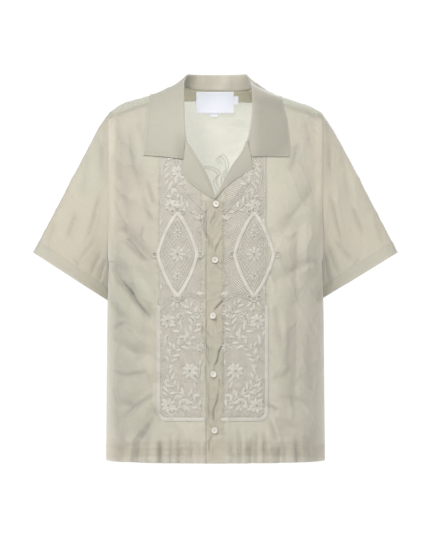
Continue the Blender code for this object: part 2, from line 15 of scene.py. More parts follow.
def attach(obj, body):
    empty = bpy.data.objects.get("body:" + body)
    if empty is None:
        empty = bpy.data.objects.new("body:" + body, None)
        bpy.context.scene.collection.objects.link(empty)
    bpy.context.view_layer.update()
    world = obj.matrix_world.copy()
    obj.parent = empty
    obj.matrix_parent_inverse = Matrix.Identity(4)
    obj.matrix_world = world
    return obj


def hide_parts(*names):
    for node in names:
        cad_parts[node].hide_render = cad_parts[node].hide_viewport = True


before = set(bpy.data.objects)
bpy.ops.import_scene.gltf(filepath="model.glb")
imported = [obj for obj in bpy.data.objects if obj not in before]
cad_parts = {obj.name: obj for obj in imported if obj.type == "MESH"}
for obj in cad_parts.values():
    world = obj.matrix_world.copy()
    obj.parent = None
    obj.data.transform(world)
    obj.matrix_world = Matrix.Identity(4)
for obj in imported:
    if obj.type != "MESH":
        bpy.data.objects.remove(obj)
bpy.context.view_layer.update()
bpy.ops.object.select_all(action="DESELECT")

RIGHT, LEFT = -1, 1  # the wearer's sides: right is -X, left is +X
SIDE_NAME = {RIGHT: "right", LEFT: "left"}
INNER_EDGE = {RIGHT: "right", LEFT: "left"}  # the edges of each front's and each sleeve's grid
OUTER_EDGE = {RIGHT: "left", LEFT: "right"}
CUFF_EDGE = {RIGHT: "bottom", LEFT: "top"}

# The body surface, as the solids have it
SHOULDER_HALF_WIDTH = 0.2
UNDERARM_Z = -0.338
HEM_Z = -0.710
CHEST_GROWTH = 0.0015
CHEST_GROWTH_SPAN = 0.3
HEM_GROWTH = 0.0035
FRONT_DEPTH = 0.135
BACK_DEPTH = 0.125
HEM_DEPTH_GROWTH = 0.008
ROUNDNESS = 2.25
SHOULDER_ROUNDNESS = 1.1
SHOULDER_ROUNDING = 0.8
ARMHOLE_HALF_DEPTH = 0.055
RUN_OUT_LEVEL = 0.9  # where the armhole's depth starts to run out, and its share and slope there
RUN_OUT_SPAN = 0.2
RUN_OUT_START = 0.3923
RUN_OUT_SLOPE = -0.2843
SHOULDER_SEAM_LEVEL = 0.22
SEAM_LEVEL_GAP = 0.001
NECK_BACK_LEVEL = -0.262
NECK_SIDE = {RIGHT: 0.0635, LEFT: 0.0700}
OVERLAP_LIFT = 0.0016
LAPEL_FOOT_Z = -0.190
HALF_TRIM = 0.0002
ARMHOLE_FADE = 0.016
NECK_TOP = 0.0175
SHOULDER_SLOPE = 0.345
NECK_ROUNDING = 0.02
TIP_START = 0.165
TIP_SPAN = 0.036
TIP_DROP = 0.0075
LEFT_SAG = 0.0026
NORMAL_STEP = 0.001

# Folds and creases: how deep they are made, the lip beside each, and where they run out
FOLD_GAIN = 1.7
FOLD_LIP = 0.22
CREASE_GAIN = 2.3
CREASE_LIP = 0.55
CREASE_END = 0.3
CREASE_REACH = 3.4
FULL_SHADE_DEPTH = 0.0018
CALM_CHEST = 0.55

# Inner edge of each front from the shoulder seam down: distance from the middle, height
FRONT_EDGE = {
    RIGHT: ((0.0635, -0.020), (0.0620, -0.070), (0.0605, -0.100), (0.0553, -0.116), (0.0471, -0.1272),
            (0.0358, -0.1461), (0.0207, -0.1723), (0.0094, -0.1969), (0.0018, -0.2176),
            (-0.016, -0.232), (-0.016, HEM_Z)),
    LEFT: ((0.0715, -0.020), (0.0725, -0.045), (0.0705, -0.0700), (0.0650, -0.100), (0.0605, -0.1120),
           (0.0507, -0.1346), (0.0319, -0.1620), (0.0131, -0.1969), (0.0018, -0.2176),
           (-0.016, -0.232), (-0.016, HEM_Z)),
}

# Collar: the fold's distance from the middle and the leaf edge's, by level on the front
FOLD_X = {
    RIGHT: ((0.0, 0.0588), (0.40, 0.0585), (0.52, 0.0575), (0.57, 0.0552)),
    LEFT: ((0.0, 0.0655), (0.36, 0.0690), (0.46, 0.0668), (0.52, 0.0640), (0.57, 0.0600)),
}
LEAF_X = {
    RIGHT: ((0.0, 0.1225), (0.24, 0.1258), (0.344, 0.1275), (0.47, 0.1300), (0.60, 0.1327)),
    LEFT: ((0.0, 0.1235), (0.24, 0.1270), (0.344, 0.1308), (0.47, 0.1347), (0.55, 0.1362), (0.60, 0.1347)),
}
NOTCH = {RIGHT: (0.0585, 0.660), LEFT: (0.0661, 0.642)}
GORGE_LEVEL = 0.57
LEAF_END_LEVEL = 0.602
COLLAR_BACK_Y = 0.0615
COLLAR_BACK_Z = 0.0152
COLLAR_FOOT_LEVEL = -0.32
COLLAR_EDGE_LEVEL = -0.348
FOLD_LIFT_SIDE = 0.0072
FOLD_LIFT_GORGE = 0.0034
SEAM_RISE = 0.0013
COLLAR_DIP = 0.0020
LEAF_LIFT = 0.0017
NOTCH_SHARE = 0.32
TURN_END = 0.04

# Lapels: the roll's level at each station, and the outer edge there, as distance from the middle and
# height. The turn is its section at the roll: how far out, and how far off the front.
LAPEL_LEVELS = (0.574, 0.61, 0.65, 0.69, 0.735, 0.785, 0.816)
LAPEL_EDGE = {
    RIGHT: ((0.0575, -0.1505), (0.0641, -0.1725), (0.0508, -0.1891), (0.0386, -0.1990), (0.0264, -0.2083),
            (0.0150, -0.2155), (0.0046, -0.2212)),
    LEFT: ((0.0652, -0.1450), (0.0698, -0.1651), (0.0520, -0.1765), (0.0340, -0.1876), (0.0226, -0.1975),
           (0.0105, -0.2085), (0.0014, -0.2200)),
}
LAPEL_TURN = ((0.006, -0.0008), (0.002, -0.0008), (-0.0009, -0.0005), (-0.0014, 0.0004), (-0.0009, 0.0015),
              (0.0025, 0.0019))
LAPEL_LIFT = 0.0018
GORGE_GAP = 0.0009

# Main folds, as the solids have them: start x and z, end x and z, depth, half width, in metres
FRONT_FOLDS = (
    (-0.188, -0.352, -0.162, -0.396, -0.0050, 0.011), (-0.162, -0.396, -0.129, -0.439, -0.0050, 0.011),
    (-0.174, -0.287, -0.136, -0.328, -0.0030, 0.011), (-0.180, -0.187, -0.164, -0.300, -0.0040, 0.018),
    (-0.188, -0.490, -0.153, -0.508, -0.0030, 0.011), (-0.153, -0.508, -0.119, -0.510, -0.0030, 0.011),
    (-0.112, -0.561, -0.162, -0.605, -0.0030, 0.012), (-0.162, -0.605, -0.186, -0.650, -0.0030, 0.012),
    (-0.114, -0.622, -0.138, -0.662, -0.0052, 0.011), (-0.138, -0.662, -0.153, -0.710, -0.0056, 0.012),
    (-0.068, -0.655, -0.068, -0.710, -0.0060, 0.008), (-0.042, -0.665, -0.042, -0.710, -0.0045, 0.007),
    (0.069, -0.655, 0.069, -0.710, -0.0065, 0.008), (0.121, -0.672, 0.123, -0.710, -0.0060, 0.009),
    (0.097, -0.605, 0.140, -0.646, -0.0028, 0.015), (0.140, -0.646, 0.185, -0.675, -0.0028, 0.015),
    (0.156, -0.280, 0.152, -0.600, -0.0050, 0.018), (0.186, -0.342, 0.114, -0.372, -0.0020, 0.015),
    (0.190, -0.200, 0.110, -0.292, -0.0024, 0.020),
)
BACK_FOLDS = (
    (-0.120, -0.180, -0.100, -0.560, -0.0050, 0.022), (-0.030, -0.300, -0.045, -0.710, -0.0060, 0.024),
    (0.040, -0.240, 0.055, -0.710, -0.0060, 0.024), (0.130, -0.200, 0.110, -0.640, -0.0050, 0.022),
    (-0.150, -0.480, -0.140, -0.710, -0.0050, 0.018), (0.000, -0.520, 0.005, -0.710, -0.0040, 0.016),
)

# Fine creases: depth, half width, then the x and z of points along it, all in millimetres
FRONT_CREASES = (
    (-1.3, 1.8, (-10, -238), (-17, -248), (-20, -262), (-23, -274), (-19, -286), (-12, -295), (-11, -326)),
    (-1.0, 1.7, (0, -240), (0, -255), (-7, -264), (-11, -272)), (-1.0, 1.8, (-27, -254), (-25, -267)),
    (-0.8, 1.8, (0, -327), (1, -316), (7, -302), (16, -287)), (-0.7, 1.7, (4, -341), (24, -343)),
    (-0.9, 1.7, (1, -344), (11, -355)), (-1.0, 1.8, (34, -379), (13, -388)),
    (-0.8, 1.8, (-7, -300), (-4, -318)), (-1.4, 1.8, (-5, -431), (4, -420), (19, -404)),
    (-0.7, 1.7, (-13, -445), (-19, -462), (-20, -478)),
    (-1.0, 1.8, (-21, -440), (-24, -470), (-14, -500), (-11, -530)), (-0.8, 1.7, (-16, -466), (-8, -482)),
    (-1.5, 1.8, (-5, -537), (4, -520), (7, -502), (17, -487)),
    (-1.0, 1.7, (-9, -533), (-13, -520), (-20, -506)),
    (-1.2, 1.7, (-9, -545), (-13, -562), (-12, -590), (-13, -608), (-12, -650)),
    (-0.9, 1.7, (7, -552), (8, -572)), (-1.5, 1.8, (8, -568), (4, -592), (-3, -612), (-4, -642)),
    (-0.9, 1.7, (-12, -610), (-6, -622)), (-1.2, 1.8, (-2, -655), (-12, -670), (-11, -700)),
    (-0.8, 1.7, (-13, -634), (-6, -646)),
    (-2.4, 3.6, (-200, -338), (-182, -373), (-153, -405), (-127, -442), (-118, -452)),
    (-1.8, 3.6, (-180, -290), (-157, -311), (-138, -331), (-122, -341)),
    (-1.0, 3, (-134, -270), (-140, -300)), (-1.0, 4, (-196, -541), (-165, -549), (-117, -541)),
    (-1.0, 4, (-194, -468), (-167, -448)), (-1.4, 4, (-105, -577), (-138, -597), (-184, -635)),
    (-2.6, 4, (-102, -660), (-102, -740)), (-1.8, 4, (-82, -650), (-84, -740)),
    (-1.0, 4, (-53, -658), (-53, -730)), (-1.0, 4, (-31, -662), (-31, -730)),
    (-1.0, 5, (-125, -634), (-129, -740)), (-0.8, 6, (-173, -648), (-179, -740)),
    (-2.0, 4, (45, -640), (45, -740)), (-1.0, 4, (29, -656), (29, -730)),
    (-2.0, 4.5, (90, -645), (94, -740)), (-1.8, 5, (149, -650), (153, -740)),
    (-0.7, 6, (173, -656), (177, -730)), (-1.4, 3.5, (95, -601), (118, -616)),
    (-1.4, 4, (99, -623), (115, -674)), (-0.6, 6, (96, -584), (138, -590), (193, -606)),
    (-0.6, 6, (95, -558), (127, -549), (159, -529)), (-0.8, 6, (197, -332), (160, -344), (125, -362)),
    (-0.8, 7, (197, -347), (167, -383), (155, -430)), (-0.9, 8, (192, -194), (149, -246), (113, -301)),
    (-1.2, 6, (158, -108), (135, -177)), (-1.0, 6, (166, -66), (179, -137)),
    (-0.9, 8, (-162, -74), (-156, -150), (-138, -220)), (-0.6, 7, (-181, -88), (-176, -186)),
    (-0.7, 6, (-146, -69), (-133, -121)), (-0.9, 6, (-139, -212), (-119, -270)),
    (-1.0, 4, (-130, -183), (-114, -238)), (-1.0, 5, (-197, -405), (-170, -446)),
    (-1.0, 6, (-190, -567), (-179, -613)), (-1.0, 7, (111, -402), (122, -508)),
    (-1.0, 7, (140, -458), (135, -563)), (-1.0, 7, (174, -440), (179, -600)),
)
HEM_FLUTES = (  # x and z at the top, at the knee and at the hem, half width in mm, depth of painted shade
    (-0.1080, -0.618, -0.1457, -0.670, -0.1520, -0.720, 7.4, 0.27),
    (-0.1050, -0.668, -0.1054, -0.690, -0.1056, -0.720, 4.6, 0.19),
    (-0.0690, -0.655, -0.0690, -0.690, -0.0685, -0.720, 3.2, 0.17),
    (-0.0460, -0.650, -0.0460, -0.690, -0.0455, -0.720, 3.6, 0.12),
    (-0.0220, -0.668, -0.0205, -0.690, -0.0205, -0.720, 2.6, 0.08),
    (0.0760, -0.640, 0.0735, -0.690, 0.0735, -0.720, 4.2, 0.16),
    (0.1265, -0.668, 0.1265, -0.690, 0.1265, -0.720, 3.6, 0.15),
    (0.0320, -0.650, 0.0320, -0.690, 0.0330, -0.720, 3.0, 0.08),
    (0.1560, -0.655, 0.1570, -0.690, 0.1580, -0.720, 4.6, 0.07),
    (0.1010, -0.660, 0.1010, -0.690, 0.1010, -0.720, 3.0, 0.07),
)
FRONT_SHADES = (  # x and z of a soft band's two ends, half width in mm, change of tone: painted light above 0, painted shade below
    (-0.198, -0.070, -0.136, -0.171, 9, -0.06), (-0.193, -0.150, -0.168, -0.275, 10, -0.07),
    (-0.168, -0.275, -0.120, -0.330, 8, -0.07), (-0.150, -0.180, -0.145, -0.260, 11, 0.05),
    (-0.175, -0.515, -0.142, -0.548, 10, -0.07), (-0.135, -0.440, -0.134, -0.490, 9, -0.05),
    (-0.195, -0.345, -0.122, -0.436, 6, -0.06), (-0.160, -0.345, -0.125, -0.385, 9, 0.04),
    (-0.188, -0.610, -0.175, -0.655, 9, -0.04), (-0.120, -0.655, -0.118, -0.700, 8, 0.05),
    (0.118, -0.400, 0.118, -0.590, 17, 0.05), (0.172, -0.560, 0.172, -0.650, 18, -0.045),
    (0.185, -0.335, 0.150, -0.345, 7, -0.05), (0.188, -0.165, 0.130, -0.225, 10, 0.05),
    (0.150, -0.230, 0.140, -0.290, 22, 0.04), (0.120, -0.230, 0.112, -0.300, 8, -0.03),
    (0.150, -0.190, 0.142, -0.430, 32, 0.055),
)
FRONT_BROAD_TONES = (  # start and span in x, start and span in z, change of tone once both are past: a lighter band along the hem, painted light on the left front's chest, and painted shade low on both fronts
    (-0.5, 0.1, -0.672, -0.012, 0.05), (-0.10, -0.03, -0.672, -0.012, 0.05),
    (0.09, 0.03, -0.60, -0.04, -0.03), (0.05, 0.05, -0.40, 0.14, 0.08),
    (-0.05, -0.05, -0.24, -0.08, -0.035),
)
RIGHT_SIDE_LIGHT = 0.43  # painted light: how much lighter the cloth is painted at the sides, where it turns away and light comes through
LEFT_SIDE_LIGHT = 0.37
# Painted shade in the fine creases and where the cloth faces up, and a painted shadow on the right front
# beside the left front's edge; the left front is lighter along its placket
CREASE_SHADE = 0.27
UPWARD_SHADE = 0.09
PLACKET_TOP_Z = -0.232
PLACKET_SHADE = 0.26
PLACKET_LIGHT = 0.09
BACK_CREASES = (
    (-1.4, 5, (-180, -330), (-140, -400), (-120, -470)), (-1.2, 5, (-192, -360), (-160, -450)),
    (-1.4, 5, (180, -330), (145, -395), (128, -480)), (-1.2, 5, (192, -370), (158, -455)),
    (-1.0, 6, (-60, -120), (-90, -260)), (-1.0, 6, (64, -120), (88, -250)),
    (-1.0, 6, (-170, -120), (-150, -260)), (-1.0, 6, (172, -120), (150, -270)),
    (-1.2, 5, (-90, -630), (-92, -740)), (-1.0, 5, (-20, -640), (-22, -740)),
    (-1.2, 5, (28, -630), (30, -740)), (-1.0, 5, (84, -640), (86, -740)),
    (-1.2, 5, (150, -630), (156, -740)), (-1.2, 5, (-176, -640), (-180, -740)),
    (-1.0, 6, (-10, -380), (8, -520)), (-1.0, 6, (90, -420), (70, -560)),
    (-1.0, 6, (-80, -420), (-64, -570)),
)
SLEEVE_CREASES = (
    (-0.9, 2, (-322, -304), (-318, -318)), (-0.9, 2, (-316, -300), (-311, -321)),
    (-0.9, 2, (-268, -330), (-258, -346)), (-0.9, 2, (-258, -334), (-262, -352)),
    (-0.9, 2, (-215, -366), (-208, -384)), (-0.8, 2, (-221, -362), (-217, -378)),
    (-0.9, 2, (318, -302), (313, -318)), (-0.9, 2, (268, -330), (259, -347)),
    (-0.8, 2, (226, -356), (220, -374)), (-1.2, 4, (-213, -200), (-232, -271), (-246, -314)),
    (-1.2, 4, (-259, -240), (-281, -302)), (-1.4, 4, (-212, -314), (-237, -370)),
    (-1.6, 4, (-203, -327), (-222, -384)), (-1.0, 4, (-221, -294), (-261, -342)),
    (-0.6, 8, (-238, -124), (-255, -228)), (-0.6, 7, (-213, -106), (-219, -180)),
    (-0.7, 6, (-300, -262), (-318, -310)), (-1.2, 4, (213, -200), (229, -275), (242, -322)),
    (-1.2, 4, (254, -226), (280, -296)), (-1.4, 4, (210, -303), (232, -370)),
    (-1.6, 4, (203, -312), (216, -388)), (-1.0, 4, (219, -294), (259, -342)),
    (-0.6, 8, (235, -124), (253, -228)), (-0.6, 7, (212, -106), (217, -182)),
    (-0.7, 6, (300, -262), (318, -310)),
)

# Sleeves
CUFF_TIP = Vector((0.3435, -0.005, -0.3195))
CUFF_INNER = {RIGHT: Vector((0.190, 0.045, -0.419)), LEFT: Vector((0.190, 0.045, -0.414))}
CUFF_HALF_DEPTH = 0.046
SLEEVE_START_X = 0.2003
SLEEVE_CLEARANCE = 0.0013
CAP_SHARE = 0.13
CAP_RISE = 0.0036
SLEEVE_RIPPLE = 0.0022
SLEEVE_CRUMPLE = 0.45
SLEEVE_SIDES = 156
SLEEVE_ROWS = 96

# Cloth and how finely its grids are laid
CLOTH_LIFT = 0.0003
CLOTH_WALL = 0.0005
STIFF_WALL = 0.0009
LAPEL_WALL = 0.0008
LABEL_WALL = 0.0006
SATIN_WALL = 0.0004
TURN_DEPTH = 0.0009
LABEL_DEPTH = 0.0024
FRONT_COLUMNS = 98
PLACKET_COLUMNS = 30
PLACKET_REACH = 0.042
UPPER_ROWS = 150
LOWER_ROWS = 148
BACK_HALF_COLUMNS = 66
SHOULDER_COLUMNS = 26
NECK_SIDE_COLUMNS = 8
BACK_FAN_ROWS = 60
BACK_MIDDLE_ROWS = 62
BACK_LOWER_ROWS = 116
BACK_FAN_LEVEL = -0.55
NEARNESS_REACH = 0.03

# Hems, facings and stitching
BODY_HEM = 0.029
SLEEVE_HEM = 0.023
FRONT_FACING = 0.036
FACING_TOP_Z = -0.226
FACING_FOOT_SHARE = 0.07
SEAM_STITCH = 0.0016
COLLAR_STITCH = 0.006
STITCH_LENGTH = 0.0024
STITCH_STEP = 0.0033
STITCH_RADIUS = 0.00022
THREAD_FLATNESS = 0.8

# Embroidered panels: where they lie on each front
PANEL_INNER_X = {RIGHT: 0.0200, LEFT: 0.0105}
PANEL_OUTER_X = {RIGHT: 0.1056, LEFT: 0.0945}
PANEL_TOP_Z = -0.140
BORDER_TOP_Z = -0.418
PANEL_BOTTOM_Z = -0.629
BORDER_WIDTH = 0.007
BORDER_HEIGHT = 0.0009
BORDER_CORNER_RADIUS = 0.014
MEDALLION_CENTRE = {RIGHT: (0.0700, -0.325), LEFT: (0.0715, -0.325)}
MEDALLION_HALF_WIDTH = 0.036
MEDALLION_HALF_HEIGHT = 0.076
MEDALLION_SQUARENESS = 1.25
FRAME_WIDTH = 0.0062
FRAME_HEIGHT = 0.0014
LATTICE_PITCH = 0.0068
LATTICE_SLOPE = 1.35
LEAF_WIDEST = 0.42
LEAF_TIP_HALF = 0.00018

BUTTON_PLACES = ((0.0005, -0.2315), (-0.0013, -0.3344), (-0.0040, -0.4378), (-0.0045, -0.5454),
                 (-0.0017, -0.6482))
BUTTON_RADIUS = 0.00575
BUTTON_HEIGHT = 0.0022

SEAM_TONE = 0.86
SILK_ROUGHNESS = 0.42

CAMERA_PLACE = (-0.00094, -7.0, -0.35156)
CAMERA_LENS = 249.15
FLOOR_Z = -1.3


def smooth(value):
    """Eases a value from 0 to 1."""
    value = max(0.0, min(1.0, value))
    return value * value * (3 - 2 * value)


def ramp(value, start, span):
    """0 at the start, easing to 1 a span further on. A span below 0 runs the other way."""
    return smooth((value - start) / span)


def heading(angle):
    """A unit step in a direction."""
    return Vector((math.cos(angle), math.sin(angle)))


def eased(share, start, end, leave, arrive):
    """A smooth run between two values or points, with a slope given at each."""
    return (start * (2 * share**3 - 3 * share**2 + 1) + leave * (share**3 - 2 * share**2 + share)
            + end * (3 * share**2 - 2 * share**3) + arrive * (share**3 - share**2))


def read_table(table, key):
    """Reads a table of (key, value) rows on a smooth curve that never overshoots its rows."""
    if key <= table[0][0]:
        return table[0][1]
    if key >= table[-1][0]:
        return table[-1][1]
    index = 0
    while table[index + 1][0] < key:
        index += 1

    def slope(row):
        return (table[row + 1][1] - table[row][1]) / (table[row + 1][0] - table[row][0])

    def tangent(row):
        if row in (0, len(table) - 1):
            return slope(min(row, len(table) - 2))
        before, after = slope(row - 1), slope(row)
        return 0.0 if before * after <= 0 else 2 * before * after / (before + after)

    (low, start), (high, end) = table[index], table[index + 1]
    span = high - low
    return eased((key - low) / span, start, end, tangent(index) * span, tangent(index + 1) * span)


def spline_point(points, share):
    """A point on a smooth curve through points, for a share of the way counted in points."""
    place = share * (len(points) - 1)
    index = min(int(place), len(points) - 2)
    start, end = points[index], points[index + 1]
    leave = (end - points[max(index - 1, 0)]) * 0.5
    arrive = (points[min(index + 2, len(points) - 1)] - start) * 0.5
    return eased(place - index, start, end, leave, arrive)


def beside_run(x, z, start, end):
    """The share of a straight run that lies nearest to a place, and how far off in x and z it is."""
    run_x, run_z = end[0] - start[0], end[1] - start[1]
    off_x, off_z = x - start[0], z - start[1]
    share = max(0.0, min(1.0, (off_x * run_x + off_z * run_z) / (run_x * run_x + run_z * run_z)))
    return share, off_x - run_x * share, off_z - run_z * share


# The body surface


def shoulder_height(x):
    tip = max(0.0, abs(x) - TIP_START) / TIP_SPAN
    sag = LEFT_SAG * math.sin(math.pi * x / SHOULDER_HALF_WIDTH) if x > 0 else 0.0
    return NECK_TOP - SHOULDER_SLOPE * math.hypot(x, NECK_ROUNDING) - TIP_DROP * tip * tip - sag


def height_at(x, level):
    down = abs(level)
    if down > 1:
        return UNDERARM_Z - (down - 1) * (UNDERARM_Z - HEM_Z)
    top = shoulder_height(x)
    return top - down * down * (top - UNDERARM_Z)


def level_at(x, z):
    if z < UNDERARM_Z:
        return 1 + (UNDERARM_Z - z) / (UNDERARM_Z - HEM_Z)
    top = shoulder_height(x)
    return math.sqrt(max(0.0, top - z) / (top - UNDERARM_Z))


def half_width(level):
    below = max(0.0, abs(level) - 1)
    return SHOULDER_HALF_WIDTH + CHEST_GROWTH * smooth(below / CHEST_GROWTH_SPAN) + HEM_GROWTH * below


def body_depth(level):
    down = abs(level)
    depth = FRONT_DEPTH if level >= 0 else BACK_DEPTH
    rounding = min(1.0, down * down / SHOULDER_ROUNDING)
    return depth * math.sqrt(1 - (1 - rounding) ** 2) + HEM_DEPTH_GROWTH * max(0.0, down - 1)


def armhole_edge(down):
    """The armhole's half depth at a level above the underarm."""
    return 2 * ARMHOLE_HALF_DEPTH * down * math.sqrt(1 - down * down)


def soft_edge(down):
    """The armhole's half depth beside the seam. It runs out smoothly below the underarm."""
    if down < RUN_OUT_LEVEL:
        return armhole_edge(down)
    share = min(1.0, (down - RUN_OUT_LEVEL) / RUN_OUT_SPAN)
    return 2 * ARMHOLE_HALF_DEPTH * eased(share, RUN_OUT_START, 0.0, RUN_OUT_SLOPE, 0.0)


def body_point(x, level):
    down = abs(level)
    side = -1 if level >= 0 else 1
    seam_edge = armhole_edge(down) if down < 1 else 0.0
    at_seam = ramp(abs(x), half_width(level) - ARMHOLE_FADE, ARMHOLE_FADE)
    edge = soft_edge(down) * (1 - at_seam) + seam_edge * at_seam
    across = min(1.0, abs(x) / half_width(level)) ** (ROUNDNESS / 2)
    power = SHOULDER_ROUNDNESS + (ROUNDNESS - SHOULDER_ROUNDNESS) * ramp(down, 0.75, 0.35)
    inward = math.sqrt(max(0.0, 1 - across * across)) ** (2 / power)
    y = edge + (body_depth(level) - edge) * inward
    return Vector((x, side * y, height_at(x, level)))


def body_normal(x, level):
    reach = half_width(level) - 2 * NORMAL_STEP
    x = max(-reach, min(reach, x))
    across = body_point(x + NORMAL_STEP, level) - body_point(x - NORMAL_STEP, level)
    if abs(level) < 0.02:
        level = 0.02
    up = body_point(x, level * 0.995) - body_point(x, level * 1.005)
    normal = across.cross(up).normalized()
    return normal if level > 0 else -normal


def read_creases(table):
    """Turns a table of creases from millimetres into lines, each with the box that it reaches."""
    lines = []
    for depth, half, *points in table:
        half *= 0.001
        spots = [Vector(point) * 0.001 for point in points]
        reach = CREASE_REACH * half
        across, along = [spot.x for spot in spots], [spot.y for spot in spots]
        box = (min(across) - reach, max(across) + reach, min(along) - reach, max(along) + reach)
        lengths = [(b - a).length for a, b in zip(spots, spots[1:])]
        lines.append((depth * 0.001, half, spots, lengths, sum(lengths), box))
    return lines


CREASE_LINES = {
    "front": read_creases(FRONT_CREASES),
    "back": read_creases(BACK_CREASES),
    "sleeve": read_creases(SLEEVE_CREASES),
}


def crease_at(kind, x, z):
    """How far the fine creases move the cloth at a point, and how deep in one it lies, from 0 to 1."""
    depth = shade = 0.0
    for fold, half, spots, lengths, total, box in CREASE_LINES[kind]:
        if not (box[0] < x < box[1] and box[2] < z < box[3]):
            continue
        nearest, along, walked, beside = 1.0, 0.0, 0.0, 1.0
        for start, end, length in zip(spots, spots[1:], lengths):
            share, off_x, off_z = beside_run(x, z, start, end)
            distance = math.hypot(off_x, off_z)
            if distance < nearest:
                nearest, along = distance, (walked + share * length) / total
                beside = math.copysign(1.0, (end.x - start.x) * off_z - (end.y - start.y) * off_x)
            walked += length
        ends = smooth(along / CREASE_END) * smooth((1 - along) / CREASE_END)
        valley = math.exp(-((nearest / half) ** 1.5))
        lip = math.exp(-(((nearest * beside - 1.7 * half) / (1.1 * half)) ** 2))
        depth += fold * (valley - CREASE_LIP * lip) * ends
        shade = max(shade, valley * ends * min(1.0, -fold / FULL_SHADE_DEPTH))
    return depth * CREASE_GAIN, shade


def freedom(x, z, level):
    """1 where the cloth hangs free, 0 where the collar, a lapel or the neck's labels lie on it."""
    reach = abs(x)
    if level < 0:
        return max(ramp(z, -0.066, -0.02), ramp(reach, 0.066, 0.012))
    foot = -0.152 - 0.02 * ramp(reach, 0.0775, -0.006) - 0.83 * max(0.0, 0.0665 - reach)
    return max(ramp(z, foot, -0.016), ramp(reach, 0.138, 0.012))


def crumple(point):
    """The crisp unevenness of thin cloth, some of it in soft hollows and some in sharp ridges."""
    x, y, z = point
    broad = noise.noise(point * 9.0)
    soft = noise.noise(point * 23.0 + Vector((3.0, 1.0, 5.0)))
    ridge = 1 - abs(noise.noise(Vector((x * 26.0 + z * 12.0, y * 26.0, z * 17.0 + 7.0))))
    sharp = 1 - abs(noise.noise(Vector((x * 44.0 - z * 9.0, y * 44.0, z * 40.0))))
    return 0.0034 * broad + 0.0011 * soft + 0.0022 * (ridge**6 - 0.25) + 0.0010 * (sharp**7 - 0.2)


def fold_depth(x, z, level):
    """How far folds, creases and unevenness move the cloth out at a point."""
    front, reach = level > 0, abs(x)
    depth = 0.0
    for *ends, fold, half in FRONT_FOLDS if front else BACK_FOLDS:
        share, off_x, off_z = beside_run(x, z, ends[:2], ends[2:])
        distance = math.hypot(off_x, off_z)
        if distance < 4 * half:
            lip = math.exp(-(((distance - 2.1 * half) / half) ** 2))
            grown = ramp(share, -0.2, 0.8) if front and ends[3] == HEM_Z else 1.0
            depth += fold * grown * (math.exp(-((distance / half) ** 1.5)) - FOLD_LIP * lip)
    side_fade = ramp(reach, half_width(level), -0.022)
    middle_fade = ramp(reach, 0.028, 0.02) if front else 1.0
    depth *= ramp(abs(level), 0.45, 0.2) * middle_fade * FOLD_GAIN
    fine = crease_at("front" if front else "back", x, z)[0]
    free = freedom(x, z, level)
    if front:
        free *= 1 - CALM_CHEST * ramp(x, 0.07, 0.04) * ramp(z, -0.32, 0.10)
    under_leaf = ramp(reach, 0.045, 0.02) * ramp(reach, 0.131, -0.008) * ramp(abs(level), 0.36, -0.14)
    return (depth + (fine + crumple(body_point(x, level))) * free) * side_fade - COLLAR_DIP * under_leaf


def cloth_point(x, level, lift=0.0):
    """A point of the cloth's inner face, moved out by lift."""
    point = body_point(x, level)
    return point + body_normal(x, level) * (fold_depth(x, point.z, level) + lift)


EDGE_ROWS = {
    side: [(level_at(side * x, z), x) for x, z in FRONT_EDGE[side]] for side in (RIGHT, LEFT)
}


def front_inner_edge(side, level):
    """How far a front's inner edge is from the middle, on its own side."""
    return read_table(EDGE_ROWS[side], level)


def front_point(side, x, level, lift=0.0):
    """A point on one front. The left front rises over the right one at the placket."""
    if side == LEFT:
        z = height_at(x, level)
        past_edge = x - front_inner_edge(side, level)
        below_lapel = ramp(z, LAPEL_FOOT_Z, -0.025)
        lift += OVERLAP_LIFT * ramp(past_edge, 0.046, -0.0135) * below_lapel
        wave = 0.0010 + 0.0012 * noise.noise(Vector((past_edge * 30, 0.0, z * 42)))
        lift += wave * ramp(past_edge, 0.018, -0.014) * below_lapel
    return cloth_point(x, level, lift)


# Sheets of cloth


